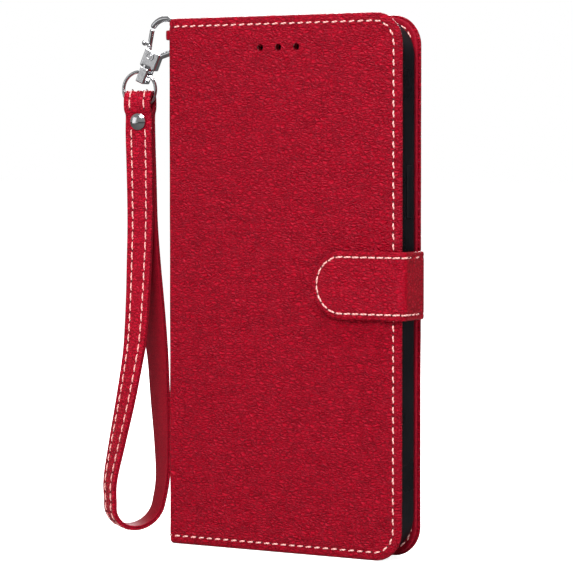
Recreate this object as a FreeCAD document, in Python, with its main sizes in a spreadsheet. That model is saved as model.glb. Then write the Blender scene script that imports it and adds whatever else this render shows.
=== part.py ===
import FreeCAD, Part

import math
import os

import Sketcher

# Folio wallet case for a large phone, closed and standing on its bottom edge.
# Millimetres. +Z up, +X to the right along the covers, the front cover faces -Y.
# Origin: centre of the rear cover's bottom edge, halfway through its thickness.

V = FreeCAD.Vector
doc = FreeCAD.newDocument("wallet_case")
sheet = doc.addObject("Spreadsheet::Sheet", "Sizes")
sheet_rows = 0


class Size:
    """A length that knows its number and the spreadsheet expression that gives it."""

    def __init__(self, value, text):
        self.value, self.text = value, text

    def __add__(self, other):
        other = as_size(other)
        return Size(self.value + other.value, f"({self.text} + {other.text})")

    def __sub__(self, other):
        other = as_size(other)
        return Size(self.value - other.value, f"({self.text} - {other.text})")

    def __neg__(self):
        return Size(-self.value, f"(-{self.text})")

    def __mul__(self, factor):
        return Size(self.value * factor, f"({self.text} * {factor})")

    def __truediv__(self, factor):
        return Size(self.value / factor, f"({self.text} / {factor})")


def as_size(x):
    return x if isinstance(x, Size) else Size(float(x), f"{float(x)}")


def size(alias, value):
    """Puts one named number in the sheet."""
    global sheet_rows
    sheet_rows += 1
    sheet.set(f"A{sheet_rows}", alias)
    sheet.set(f"B{sheet_rows}", str(value))
    sheet.setAlias(f"B{sheet_rows}", alias)
    return Size(float(value), f"Sizes.{alias}")


# ---- sizes -----------------------------------------------------------------------------------

case_height = size("case_height", 167.0)
front_width = size("front_width", 85.6)
rear_width = size("rear_width", 84.2)
rear_drop = size("rear_top_drop", 0.4)
case_depth = size("case_depth", 15.6)
corner_radius = size("corner_radius", 9.5)
spine_corner = size("spine_corner", 0.6)

skin = size("skin_thickness", 1.0)
board = size("board_thickness", 0.5)
board_margin = size("board_margin", 4.0)
front_lining = size("front_lining_thickness", 1.1)
rear_lining = size("rear_lining_thickness", 1.4)
spine_lining = size("spine_lining_thickness", 0.6)
crease = size("crease_width", 1.9)
gap = size("soft_gap", 0.3)

thread = size("thread_thickness", 0.25)
thread_width = size("thread_width", 0.6)
seam_inset = size("seam_inset", 2.5)
strap_seam_inset = size("strap_seam_inset", 1.8)

earpiece_radius = size("earpiece_radius", 1.1)
earpiece_pitch = size("earpiece_pitch", 6.64)
earpiece_drop = size("earpiece_drop", 9.9)
earpiece_from_left = size("earpiece_from_left", 41.5)

shell_right_margin = size("shell_right_margin", 0.7)
shell_bottom_margin = size("shell_bottom_margin", 1.6)
shell_top_margin = size("shell_top_margin", 1.2)
shell_wall = size("shell_wall", 1.5)
shell_back = size("shell_back", 1.1)
shell_lip = size("shell_lip", 0.9)
lip_thickness = size("lip_thickness", 0.5)
shell_radius = size("shell_radius", 11.5)
shell_from_spine = size("shell_from_spine", 2.3)
shell_round_back = size("shell_round_back", 2.0)
shell_round_front = size("shell_round_front", 0.7)

camera_width = size("camera_window_width", 34.0)
camera_height = size("camera_window_height", 36.0)
camera_radius = size("camera_window_radius", 7.0)
camera_inset = size("camera_window_inset", 3.0)
port_width = size("port_width", 46.0)
port_depth = size("port_depth", 4.6)
microphone_radius = size("microphone_radius", 0.8)

pocket = size("pocket_thickness", 0.4)
bill_mouth = size("bill_mouth", 14.0)
bill_top_drop = size("bill_top_drop", 21.0)
card_mouth = size("first_card_mouth", 33.0)
card_step = size("card_step", 9.0)
card_height = size("card_pocket_height", 92.0)
card_bottom = size("card_pocket_bottom", 30.0)
pocket_inset = size("pocket_inset", 3.0)

strap_width = size("strap_width", 20.9)
strap_centre = size("strap_centre_height", 83.95)
strap_leather = size("strap_leather_thickness", 0.8)
strap_lining = size("strap_lining_thickness", 0.6)
tongue_length = size("tongue_length", 29.6)
tongue_radius = size("tongue_radius", 10.3)
side_length = size("strap_side_length", 13.6)
side_lean = size("strap_side_lean_degrees", 6.76)
root_length = size("strap_root_length", 3.8)
root_thickness = size("strap_root_thickness", 0.7)
magnet_radius = size("magnet_radius", 5.5)
magnet_inset = size("magnet_inset", 10.5)

button_width = size("button_width", 3.0)
button_proud = size("button_proud", 0.45)
button_gap = size("button_gap", 0.06)
button_flange = size("button_flange_thickness", 0.4)
button_flange_rim = size("button_flange_rim", 0.6)
power_length = size("power_button_length", 16.3)
power_drop = size("power_button_drop", 54.4)
volume_length = size("volume_button_length", 12.0)
volume_up_drop = size("volume_up_drop", 49.0)
volume_down_drop = size("volume_down_drop", 64.0)
action_length = size("action_button_length", 6.5)
action_drop = size("action_button_drop", 33.0)

keeper_radius = size("keeper_radius", 5.15)
keeper_thickness = size("keeper_thickness", 1.0)
keeper_height = size("keeper_height", 3.0)
keeper_drop = size("keeper_drop", 6.5)

hook_radius = size("hook_radius", 5.6)
hook_wire = size("hook_wire_radius", 0.95)
hook_side = size("hook_side_offset", 2.2)
hook_rise = size("hook_rise", 8.0)
body_width = size("clasp_body_width", 5.9)
body_thickness = size("clasp_body_thickness", 3.0)
body_bottom = size("clasp_body_bottom", 3.9)
body_top = size("clasp_body_top", 1.9)
slot_width = size("gate_slot_width", 1.3)
gate_thickness = size("gate_thickness", 1.1)
gate_wire = size("gate_wire_radius", 0.75)
hub_radius = size("gate_hub_radius", 1.15)
pin_radius = size("gate_pin_radius", 0.5)
pin_gap = size("gate_pin_gap", 0.05)
post_radius = size("swivel_post_radius", 0.8)
post_gap = size("swivel_post_gap", 0.06)
head_radius = size("swivel_head_radius", 1.35)
eye_width = size("eye_width", 3.0)
eye_span = size("eye_span", 4.6)
eye_wall = size("eye_wall", 0.9)
eye_top = size("eye_top", 4.5)
eye_bottom = size("eye_bottom", 9.1)
ring_radius = size("ring_radius", 5.7)
ring_wire = size("ring_wire_radius", 0.55)
ring_drop = size("ring_drop", 11.45)

band_width = size("wrist_band_width", 9.3)
band_leather = size("wrist_band_leather", 0.8)
band_lining = size("wrist_band_lining", 0.7)
cap_radius = size("rivet_cap_radius", 2.65)
cap_height = size("rivet_cap_height", 1.0)
rivet_post = size("rivet_post_radius", 0.9)
rivet_drop = size("rivet_drop", 32.4)

# ---- derived planes --------------------------------------------------------------------------

left = rear_width / -2.0                          # outer face of the spine
rear_height = case_height - rear_drop
rear_out = (skin + rear_lining) / 2.0             # outer face of the rear cover
rear_in = -rear_out
front_out = rear_out - case_depth                 # outer face of the front cover
front_in = front_out + skin + front_lining
plate_left = left + crease                        # where the cover plates start
front_plate_width = front_width - crease
rear_plate_width = rear_width - crease
shell_left = left + shell_from_spine
shell_front = front_in + pocket * 4.0 + gap
shell_depth = rear_in - shell_front
shell_width = rear_width - shell_from_spine - shell_right_margin
shell_bottom = shell_bottom_margin
shell_height = rear_height - shell_bottom_margin - shell_top_margin
strap_bottom = strap_centre - strap_width / 2.0
front_right = left + front_width


# ---- helpers ---------------------------------------------------------------------------------

def bind(obj, path, amount):
    obj.setExpression(path, as_size(amount).text)


def place(obj, x=None, y=None, z=None):
    """Puts an object at sizes from the origin and keeps it bound to them."""
    x, y, z = (as_size(0.0 if c is None else c) for c in (x, y, z))
    rotation = obj.Placement.Rotation
    obj.Placement = FreeCAD.Placement(V(x.value, y.value, z.value), rotation)
    for axis, amount in zip("xyz", (x, y, z)):
        bind(obj, f"Placement.Base.{axis}", amount)
    return obj


def box(name, x, y, z, at):
    made = doc.addObject("Part::Box", name)
    for prop, amount in zip(("Length", "Width", "Height"), (x, y, z)):
        bind(made, prop, amount)
    return place(made, *at)


def cylinder(name, radius, height, at, axis=V(0, 0, 1)):
    made = doc.addObject("Part::Cylinder", name)
    bind(made, "Radius", radius)
    bind(made, "Height", height)
    made.Placement.Rotation = FreeCAD.Rotation(V(0, 0, 1), axis)
    return place(made, *at)


def cut(name, base, *tools):
    made = doc.addObject("Part::Cut", name)
    made.Base = base
    made.Tool = tools[0] if len(tools) == 1 else fuse(name + "_tools", *tools)
    return made


def fuse(name, *shapes):
    made = doc.addObject("Part::MultiFuse", name)
    made.Shapes = list(shapes)
    return made


def constrain(sketch, name, constraint, amount):
    index = sketch.addConstraint(constraint)
    sketch.renameConstraint(index, name)
    bind(sketch, f"Constraints.{name}", amount)


def rounded(sketch, x0, x1, z0, z1, r_left, r_right):
    """Rounded rectangle between positive sizes, tied to the sketch's own origin."""
    x0, x1, z0, z1, r_left, r_right = (as_size(a) for a in (x0, x1, z0, z1, r_left, r_right))
    corners = [  # centre, radius, start angle, in order round the outline
        (x1.value, z0.value, -1, 1, r_right, 270),
        (x1.value, z1.value, -1, -1, r_right, 0),
        (x0.value, z1.value, 1, -1, r_left, 90),
        (x0.value, z0.value, 1, 1, r_left, 180),
    ]
    arcs, ends = [], []
    for cx, cz, sx, sz, r, start in corners:
        centre = V(cx + sx * r.value, cz + sz * r.value, 0)
        a0, a1 = math.radians(start), math.radians(start + 90)
        circle = Part.Circle(centre, V(0, 0, 1), r.value)
        arcs.append(sketch.addGeometry(Part.ArcOfCircle(circle, a0, a1), False))
        ends.append([centre + V(math.cos(a), math.sin(a), 0) * r.value for a in (a0, a1)])
    lines = []
    for k in range(4):
        segment = Part.LineSegment(ends[k][1], ends[(k + 1) % 4][0])
        lines.append(sketch.addGeometry(segment, False))
    for k in range(4):
        sketch.addConstraint(Sketcher.Constraint("Tangent", arcs[k], 2, lines[k], 1))
        sketch.addConstraint(Sketcher.Constraint("Tangent", lines[k], 2, arcs[(k + 1) % 4], 1))
        sketch.addConstraint(Sketcher.Constraint("Vertical" if k % 2 == 0 else "Horizontal", lines[k]))
    n = len(sketch.Constraints)
    sketch.addConstraint(Sketcher.Constraint("Equal", arcs[0], arcs[1]))
    sketch.addConstraint(Sketcher.Constraint("Equal", arcs[2], arcs[3]))
    for name, geometry, r in (("right", arcs[0], r_right), ("left", arcs[2], r_left)):
        constrain(sketch, f"round_{name}_{n}", Sketcher.Constraint("Radius", geometry, r.value), r)
    ties = (("x_high", "DistanceX", lines[0], x1), ("z_high", "DistanceY", lines[1], z1),
            ("x_low", "DistanceX", lines[2], x0), ("z_low", "DistanceY", lines[3], z0))
    for name, kind, geometry, amount in ties:
        if abs(amount.value) < 1e-9 and "Sizes" not in amount.text:
            axis = -2 if kind == "DistanceX" else -1
            sketch.addConstraint(Sketcher.Constraint("PointOnObject", geometry, 1, axis))
            continue
        tie = Sketcher.Constraint(kind, -1, 1, geometry, 1, amount.value)
        constrain(sketch, f"{name}_{n}", tie, amount)


def round_hole(sketch, x, z, radius):
    index = sketch.addGeometry(Part.Circle(V(x.value, z.value, 0), V(0, 0, 1), radius.value), False)
    constrain(sketch, f"hole_{index}_x", Sketcher.Constraint("DistanceX", -1, 1, index, 3, x.value), x)
    constrain(sketch, f"hole_{index}_z", Sketcher.Constraint("DistanceY", -1, 1, index, 3, z.value), z)
    constrain(sketch, f"hole_{index}_r", Sketcher.Constraint("Radius", index, radius.value), radius)


def sketch_in(body, name, depth=None):
    """A sketch on the body's own XZ plane, `depth` forward (-Y) of it."""
    sketch = body.newObject("Sketcher::SketchObject", name)
    plane = next(f for f in body.Origin.OriginFeatures if f.Role == "XZ_Plane")
    sketch.AttachmentSupport = [(plane, "")]
    sketch.MapMode = "FlatFace"
    if depth is not None:
        bind(sketch, "AttachmentOffset.Base.z", depth)
    return sketch


def plate(name, at, width, height, thickness, r_left, r_right):
    """Flat piece with rounded corners: back face at `at`, thickness towards -Y."""
    body = doc.addObject("PartDesign::Body", name)
    outline = sketch_in(body, name + "_outline")
    rounded(outline, 0.0, width, 0.0, height, r_left, r_right)
    pad = body.newObject("PartDesign::Pad", name + "_pad")
    pad.Profile = outline
    bind(pad, "Length", thickness)
    outline.Visibility = False
    place(body, *at)
    doc.recompute()
    return body


def pocket_in(body, name, draw, start=None, depth=None, backwards=False):
    """Cuts what `draw` puts in a sketch: right through, or `depth` from `start` towards +Y."""
    before = body.Shape.Volume
    outline = sketch_in(body, name + "_outline", start)
    draw(outline)
    made = body.newObject("PartDesign::Pocket", name)
    made.Profile = outline
    if depth is None:
        made.Type, made.Midplane = "ThroughAll", True
    else:
        bind(made, "Length", depth)
        made.Reversed = backwards
    outline.Visibility = False
    doc.recompute()
    assert body.Shape.Volume < before - 0.5, f"{name} removed nothing"
    return made


parts = []


def piece(label, obj):
    obj.Label = label
    parts.append((label, obj))
    return obj


def frame_strip(label, at, width, height, thickness, r_right, open_left):
    """Thread row round three sides of a panel: a narrow frame, open on its left side."""
    outer = plate(label + "_outer", at, width, height, thickness, spine_corner, r_right)
    x, y, z = (as_size(c) for c in at)
    inner = plate(label + "_inner", (x - open_left, y + 1.0, z + thread_width),
                  width - thread_width + open_left, height - thread_width * 2.0,
                  thickness + 2.0, spine_corner, r_right - thread_width)
    return piece(label, cut(label, outer, inner))


# ---- rear cover ------------------------------------------------------------------------------

camera_x = shell_from_spine + shell_width - shell_wall - camera_inset - camera_width - crease
camera_z = shell_bottom + shell_height - shell_wall - camera_inset - camera_height


def camera_window(dx, dz, grow=0.0):
    """Draws the camera window in a panel whose corner is dx, dz from the rear cover's plate corner."""
    x0, z0 = camera_x - dx - grow, camera_z - dz - grow
    return lambda sketch: rounded(sketch, x0, x0 + camera_width + 2 * grow, z0,
                                  z0 + camera_height + 2 * grow, camera_radius, camera_radius)


# Outer leather of the rear cover.
rear_skin = plate("rear_skin_body", (plate_left, rear_out, 0.0), rear_plate_width, rear_height, skin,
                  spine_corner, corner_radius)
pocket_in(rear_skin, "rear_skin_window", camera_window(as_size(0.0), as_size(0.0), 1.0))


def seam_lane(x_edge, dz, grow):
    """Draws the lane that the rear cover's seam lies in, for a panel whose corner is dz up."""
    def draw(sketch):
        for inset, x0 in ((seam_inset - grow, -2.0), (seam_inset + thread_width + grow, -1.0)):
            rounded(sketch, x0, x_edge - inset, inset - dz, rear_height - inset - dz, spine_corner,
                    corner_radius - inset)
    return draw


# The outside row is sunk in a channel, so that the back lies flat.
channel = thread + 0.02
pocket_in(rear_skin, "rear_skin_channel", seam_lane(rear_plate_width, as_size(0.0), 0.05),
          start=channel, depth=channel)
piece("rear_skin", rear_skin)

# Board that stiffens the rear cover, in a recess of the lining.
rear_board = plate("rear_board_body", (plate_left + board_margin, rear_out - skin, board_margin),
                   rear_plate_width - board_margin * 2.0, rear_height - board_margin * 2.0, board,
                   spine_corner, corner_radius - board_margin)
pocket_in(rear_board, "rear_board_window", camera_window(board_margin, board_margin, 2.0))
piece("rear_board", rear_board)

# Lining of the rear cover, with recesses for the board and the strap's root.
rear_lining_body = plate("rear_lining_body", (plate_left, rear_out - skin, 0.0), rear_plate_width,
                         rear_height, rear_lining, spine_corner, corner_radius)
pocket_in(rear_lining_body, "rear_lining_recess",
          lambda s: rounded(s, board_margin, rear_plate_width - board_margin, board_margin,
                            rear_height - board_margin, spine_corner, corner_radius - board_margin),
          start=as_size(0.0), depth=board, backwards=True)
pocket_in(rear_lining_body, "rear_lining_window", camera_window(as_size(0.0), as_size(0.0), 1.0))
root_notch = box("root_notch", root_length + 1.0, root_thickness, strap_width,
                 (left + rear_width - root_length, rear_out - skin - root_thickness, strap_bottom))
piece("rear_lining", cut("rear_lining", rear_lining_body, root_notch))

# Closure strap's end, caught between the rear skin and its lining.
piece("strap_root", box("strap_root", root_length, root_thickness, strap_width,
                        (left + rear_width - root_length, rear_out - skin - root_thickness,
                         strap_bottom)))

# Rows of stitching on the outside and the inside of the rear cover.
for label, y in (("rear_seam_outside", rear_out - 0.02), ("rear_seam_inside", rear_in)):
    frame_strip(label, (plate_left, y, seam_inset), rear_plate_width - seam_inset,
                rear_height - seam_inset * 2.0, thread, corner_radius - seam_inset, 5.0)

# ---- phone holder ----------------------------------------------------------------------------

shell_body = plate("shell_body", (shell_left, rear_in, shell_bottom), shell_width, shell_height,
                   shell_depth, shell_radius, shell_radius)
outer_pad = shell_body.Tip


def round_edges(body, name, radius, wanted):
    """Rounds the edges of the body's tip that `wanted` picks by their bounding box."""
    tip = body.Tip
    names = [f"Edge{i + 1}" for i, e in enumerate(tip.Shape.Edges) if wanted(e.BoundBox)]
    made = body.newObject("PartDesign::Fillet", name)
    made.Base = (tip, names)
    bind(made, "Radius", radius)
    doc.recompute()


round_edges(shell_body, "shell_back_round", shell_round_back, lambda b: b.YMin > -0.01)
round_edges(shell_body, "shell_front_round", shell_round_front,
            lambda b: b.YMax < -shell_depth.value + 0.01)
pocket_in(shell_body, "shell_mouth",
          lambda s: rounded(s, shell_wall + shell_lip, shell_width - shell_wall - shell_lip,
                            shell_wall + shell_lip, shell_height - shell_wall - shell_lip,
                            shell_radius - shell_wall - shell_lip, shell_radius - shell_wall - shell_lip),
          start=shell_depth, depth=shell_depth - shell_back)
pocket_in(shell_body, "shell_cavity",
          lambda s: rounded(s, shell_wall, shell_width - shell_wall, shell_wall,
                            shell_height - shell_wall, shell_radius - shell_wall,
                            shell_radius - shell_wall),
          start=shell_depth - lip_thickness, depth=shell_depth - lip_thickness - shell_back)
pocket_in(shell_body, "shell_window",
          camera_window(shell_from_spine - crease, shell_bottom),
          start=shell_back + 0.5, depth=shell_back + 1.0)

# Rebate in the shell's back, clear of the seam's inside row.
seam_lane_inside = seam_inset + thread_width + 0.2
seam_right = rear_width - shell_from_spine - seam_lane_inside
seam_low, seam_high = (seam_lane_inside - shell_bottom, rear_height - seam_lane_inside - shell_bottom)
rebate = thread + 0.1
pocket_in(shell_body, "shell_rebate",
          lambda s: (rounded(s, -4.0, shell_width + 3.0, -3.0, shell_height + 3.0, 1.0, 1.0),
                     rounded(s, -3.0, seam_right, seam_low, seam_high, spine_corner,
                             corner_radius - seam_lane_inside)),
          start=rebate, depth=rebate)

button_level = rear_in - shell_depth / 2.0 - 0.1          # middle of the side wall, front to back
shell_right = shell_left + shell_width
buttons = [
    ("power_button", 1, case_height - power_drop, power_length),
    ("volume_up_button", -1, case_height - volume_up_drop, volume_length),
    ("volume_down_button", -1, case_height - volume_down_drop, volume_length),
    ("action_button", -1, case_height - action_drop, action_length),
]
openings = []
for label, side, level, length in buttons:
    wide, long = button_width + button_gap * 2.0, length + button_gap * 2.0
    x = shell_right - shell_wall - 0.5 if side > 0 else shell_left - 0.5
    openings.append(box(label + "_opening", shell_wall + 1.0, wide, long,
                        (x, button_level - wide / 2.0, level - long / 2.0)))
openings.append(box("port_opening", port_width, port_depth, shell_wall + 1.0,
                    (shell_left + (shell_width - port_width) / 2.0,
                     button_level - port_depth / 2.0, shell_bottom - 0.5)))
openings.append(cylinder("microphone_opening", microphone_radius, shell_wall + 1.0,
                         (shell_left + shell_width / 2.0, button_level,
                          shell_bottom + shell_height - shell_wall - 0.5)))
piece("holder_shell", cut("holder_shell", shell_body, *openings))

# Button pads: each stands a little proud of the side wall and is kept in by a flange inside.
for label, side, level, length in buttons:
    deep = shell_wall + button_proud + button_gap
    x_out = shell_right - shell_wall - button_gap if side > 0 else shell_left - button_proud
    pad = box(label + "_pad", deep, button_width, length,
              (x_out, button_level - button_width / 2.0, level - length / 2.0))
    x_in = (shell_right - shell_wall - button_gap - button_flange if side > 0
            else shell_left + shell_wall + button_gap)
    flange = box(label + "_flange", button_flange, button_width + button_flange_rim * 2.0,
                 length + button_flange_rim * 2.0,
                 (x_in, button_level - button_width / 2.0 - button_flange_rim,
                  level - length / 2.0 - button_flange_rim))
    both = fuse(label + "_block", pad, flange)
    doc.recompute()
    face_x = (shell_right.value + button_proud.value) if side > 0 else (shell_left.value - button_proud.value)
    softened = doc.addObject("Part::Fillet", label)
    softened.Base = both
    softened.Edges = [(i + 1, 0.35, 0.35) for i, e in enumerate(both.Shape.Edges)
                      if abs(e.BoundBox.XMin - face_x) < 0.01 and abs(e.BoundBox.XMax - face_x) < 0.01]
    piece(label, softened)

# ---- spine -----------------------------------------------------------------------------------

spine_front, spine_back = front_in + gap, rear_in - gap
spine_depth = spine_back - spine_front
piece("spine_skin", box("spine_skin", skin, spine_depth, case_height, (left, spine_front, 0.0)))
piece("spine_lining", box("spine_lining", spine_lining, spine_depth, case_height,
                          (left + skin, spine_front, 0.0)))

# Leather keeper arched over the spine near the top, for the clasp to hook on.
spine_middle = (spine_front + spine_back) / 2.0
keeper_level = case_height - keeper_drop
arch = cut("keeper_arch",
           cylinder("keeper_outside", keeper_radius, keeper_height, (left, spine_middle, keeper_level)),
           cylinder("keeper_inside", keeper_radius - keeper_thickness, keeper_height + 2.0,
                    (left, spine_middle, keeper_level - 1.0)),
           box("keeper_half", keeper_radius + 1.0, keeper_radius * 2.0 + 2.0, keeper_height + 2.0,
               (left, spine_middle - keeper_radius - 1.0, keeper_level - 1.0)))
piece("lanyard_keeper", arch)

# ---- front cover -----------------------------------------------------------------------------

holes_x = earpiece_from_left - crease
holes_z = case_height - earpiece_drop


def earpiece_holes(dx, dz, radius):
    def draw(sketch):
        for k in (-1, 0, 1):
            round_hole(sketch, holes_x - dx + earpiece_pitch * k, holes_z - dz, radius)
    return draw


# Outer leather, with three small holes over the phone's earpiece.
front_skin = plate("front_skin_body", (plate_left, front_out + skin, 0.0), front_plate_width,
                   case_height, skin, spine_corner, corner_radius)
pocket_in(front_skin, "front_skin_holes", earpiece_holes(as_size(0.0), as_size(0.0), earpiece_radius))
piece("front_skin", front_skin)

# Board that stiffens the front cover, with a round seat for the magnet's keeper plate.
magnet_x = front_right - tongue_length + magnet_inset     # magnet's centre across the case
front_board = plate("front_board_body",
                    (plate_left + board_margin, front_out + skin + board, board_margin),
                    front_plate_width - board_margin * 2.0, case_height - board_margin * 2.0, board,
                    spine_corner, corner_radius - board_margin)
pocket_in(front_board, "front_board_holes",
          earpiece_holes(board_margin, board_margin, earpiece_radius + 0.4))
pocket_in(front_board, "front_board_seat",
          lambda s: round_hole(s, magnet_x - plate_left - board_margin, strap_centre - board_margin,
                               magnet_radius + 0.6))
piece("front_board", front_board)
piece("front_magnet", cylinder("front_magnet", magnet_radius + 0.5, board,
                               (magnet_x, front_out + skin, strap_centre), V(0, 1, 0)))

# Lining, with a recess in its front face for the board.
front_lining_body = plate("front_lining_body", (plate_left, front_in, 0.0), front_plate_width,
                          case_height, front_lining, spine_corner, corner_radius)
pocket_in(front_lining_body, "front_lining_recess",
          lambda s: rounded(s, board_margin, front_plate_width - board_margin, board_margin,
                            case_height - board_margin, spine_corner, corner_radius - board_margin),
          start=front_lining, depth=board)
pocket_in(front_lining_body, "front_lining_holes",
          earpiece_holes(as_size(0.0), as_size(0.0), earpiece_radius))
piece("front_lining", front_lining_body)

frame_strip("front_seam", (plate_left, front_out, seam_inset), front_plate_width - seam_inset,
            case_height - seam_inset * 2.0, thread, corner_radius - seam_inset, 5.0)

# Note pocket and three stepped card pockets, stacked on the lining, mouths towards the spine.
pocket_right = front_width - pocket_inset
piece("bill_pocket", plate("bill_pocket", (left + bill_mouth, front_in + pocket, pocket_inset),
                           pocket_right - bill_mouth, case_height - bill_top_drop - pocket_inset,
                           pocket, spine_corner, 4.0))
for k, label in enumerate(("card_pocket_back", "card_pocket_middle", "card_pocket_front")):
    mouth = card_mouth + card_step * k
    piece(label, plate(label, (left + mouth, front_in + pocket * (k + 2.0), card_bottom),
                       pocket_right - mouth, card_height, pocket, spine_corner, spine_corner))

# ---- closure strap ---------------------------------------------------------------------------


def leaning_slab(label, offset, thickness):
    """One layer of the strap's side: an upright slab from the rear edge to the front edge."""
    slab = box(label, thickness, side_length, strap_width, (0.0, 0.0, 0.0))
    lean = math.radians(side_lean.value)
    x, y = front_right + 0.55, front_out + 0.35
    slab.Placement.Rotation = FreeCAD.Rotation(V(0, 0, 1), side_lean.value)
    bind(slab, "Placement.Rotation.Angle", side_lean)
    place(slab, x + offset * math.cos(lean), y + offset * math.sin(lean), strap_bottom)
    return piece(label, slab)


leaning_slab("strap_side_lining", as_size(0.0), strap_lining)
leaning_slab("strap_side_leather", strap_lining, strap_leather)

tongue_back = front_out - gap
tongue_x = front_right - tongue_length
tongue_lining = plate("tongue_lining_body", (tongue_x, tongue_back, strap_bottom), tongue_length,
                      strap_width, strap_lining, tongue_radius, spine_corner)
magnet_depth = strap_lining - 0.1
pocket_in(tongue_lining, "tongue_magnet_seat",
          lambda s: round_hole(s, magnet_inset, strap_width / 2.0, magnet_radius + 0.1),
          start=strap_lining, depth=magnet_depth)
piece("strap_tongue_lining", tongue_lining)
piece("strap_magnet", cylinder("strap_magnet", magnet_radius, magnet_depth,
                               (magnet_x, tongue_back - strap_lining, strap_centre), V(0, 1, 0)))
piece("strap_tongue_leather",
      plate("strap_tongue_leather", (tongue_x, tongue_back - strap_lining, strap_bottom),
            tongue_length, strap_width, strap_leather, tongue_radius, spine_corner))

# The tongue's row of stitching runs round its rounded end and is open towards the bend.
tongue_face = tongue_back - strap_lining - strap_leather
seam_outer = plate("tongue_seam_outer",
                   (tongue_x + strap_seam_inset, tongue_face, strap_bottom + strap_seam_inset),
                   tongue_length - strap_seam_inset, strap_width - strap_seam_inset * 2.0, thread,
                   tongue_radius - strap_seam_inset, spine_corner)
seam_inner = plate("tongue_seam_inner",
                   (tongue_x + strap_seam_inset + thread_width, tongue_face + 1.0,
                    strap_bottom + strap_seam_inset + thread_width),
                   tongue_length, strap_width - (strap_seam_inset + thread_width) * 2.0,
                   thread + 2.0, tongue_radius - strap_seam_inset - thread_width, spine_corner)
piece("strap_tongue_seam", cut("strap_tongue_seam", seam_outer, seam_inner))

# ---- swivel clasp ----------------------------------------------------------------------------
# Modelled in its own frame: origin on the gate's pin, +Z up along the clasp, +X to its closed
# side, +Y to the rear. It hangs from the keeper, turned a little and leaning to the right.

TURN, LEAN = 7.0, 23.5
BAND_TURN = 10.0                # the ring and the top of the wrist strap
clasp_x = left - 12.53
clasp_y = spine_middle + 0.94
clasp_z = keeper_level - 5.0
clasp_turn = FreeCAD.Rotation(V(0, 0, 1), TURN).multiply(FreeCAD.Rotation(V(0, 1, 0), LEAN))
clasp_base = V(clasp_x.value, clasp_y.value, clasp_z.value)


def in_clasp(label, obj):
    """Sets a finished piece of the clasp in the case's frame."""
    obj.Placement = FreeCAD.Placement(clasp_base, clasp_turn)
    for axis, amount in zip("xyz", (clasp_x, clasp_y, clasp_z)):
        bind(obj, f"Placement.Base.{axis}", amount)
    return piece(label, obj)


def clasp_point(x, y, z):
    return clasp_base + clasp_turn.multVec(V(x, y, z))


def rod(name, start, end, radius):
    """Round bar between two points, both given as numbers in the clasp's frame."""
    a, b = V(*start), V(*end)
    made = doc.addObject("Part::Cylinder", name)
    bind(made, "Radius", radius)
    made.Height = (b - a).Length
    made.Placement = FreeCAD.Placement(a, FreeCAD.Rotation(V(0, 0, 1), b - a))
    return made


def ball(name, at, radius):
    made = doc.addObject("Part::Sphere", name)
    bind(made, "Radius", radius)
    made.Placement.Base = V(*at)
    return made


def arc(name, centre, major, minor, start, sweep):
    """Part of a torus in the clasp's plane; angles in degrees from its closed side, upwards."""
    made = doc.addObject("Part::Torus", name)
    bind(made, "Radius1", major)
    bind(made, "Radius2", minor)
    made.Angle3 = sweep
    upright = FreeCAD.Rotation(V(1, 0, 0), 90)
    made.Placement = FreeCAD.Placement(V(*centre), FreeCAD.Rotation(V(0, -1, 0), start).multiply(upright))
    return made


def round_block(name, x, y, z, at, radius):
    block = box(name + "_block", x, y, z, at)
    doc.recompute()
    made = doc.addObject("Part::Fillet", name)
    made.Base = block
    made.Edges = [(i + 1, radius, radius) for i in range(len(block.Shape.Edges))]
    return made


hook_x, hook_z = hook_side.value, hook_rise.value
ARC_START, ARC_END = -48.0, 166.0


def on_hook(angle):
    a = math.radians(angle)
    return hook_x + hook_radius.value * math.cos(a), 0.0, hook_z + hook_radius.value * math.sin(a)


body_left = -2.6
shoulder = (2.3, 0.0, 0.7)
hook = fuse(
    "clasp_solid",
    arc("hook_arc", (hook_x, 0, hook_z), hook_radius, hook_wire, ARC_START, ARC_END - ARC_START),
    ball("hook_tip", on_hook(ARC_END), hook_wire),
    ball("hook_bend", on_hook(ARC_START), hook_wire),
    rod("hook_arm", shoulder, on_hook(ARC_START), hook_wire),
    round_block("clasp_block", body_width, body_thickness, body_bottom + body_top,
                (body_left, body_thickness / -2.0, -body_bottom), 0.55),
    cylinder("clasp_collar", 2.3, 0.9, (0.0, 0.0, -body_bottom)),
)
bore = post_radius + post_gap
hollow = head_radius + post_gap
clasp_tools = [
    # slot for the gate, open at the top and on the left
    box("gate_slot", hub_radius + 3.8, slot_width, 4.6, (-3.6, slot_width / -2.0, -1.35)),
    cylinder("pin_hole", pin_radius, body_thickness + 2.0, (0.0, -(body_thickness / 2.0) - 1.0, 0.0),
             V(0, 1, 0)),
    cylinder("swivel_bore", bore, 2.0, (0.0, 0.0, -body_bottom - 0.5)),
    cylinder("swivel_hollow", hollow, 1.15, (0.0, 0.0, -2.75)),
]
in_clasp("clasp_body", cut("clasp_body", hook, *clasp_tools))

# Pin that the gate turns on, with a flat grooved head each side.
pin_length = body_thickness + 0.7
pin = fuse("pin_solid",
           cylinder("pin_shank", pin_radius, pin_length, (0.0, pin_length / -2.0, 0.0), V(0, 1, 0)),
           cylinder("pin_head_front", 1.45, 0.35, (0.0, pin_length / -2.0, 0.0), V(0, 1, 0)),
           cylinder("pin_head_back", 1.45, 0.35, (0.0, pin_length / 2.0 - 0.35, 0.0), V(0, 1, 0)))
groove = doc.addObject("Part::Torus", "pin_groove")
groove.Radius1, groove.Radius2 = 0.85, 0.13
groove.Placement = FreeCAD.Placement(V(0, -pin_length.value / 2, 0), FreeCAD.Rotation(V(1, 0, 0), 90))
in_clasp("clasp_pin", cut("clasp_pin", pin, groove))

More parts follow.
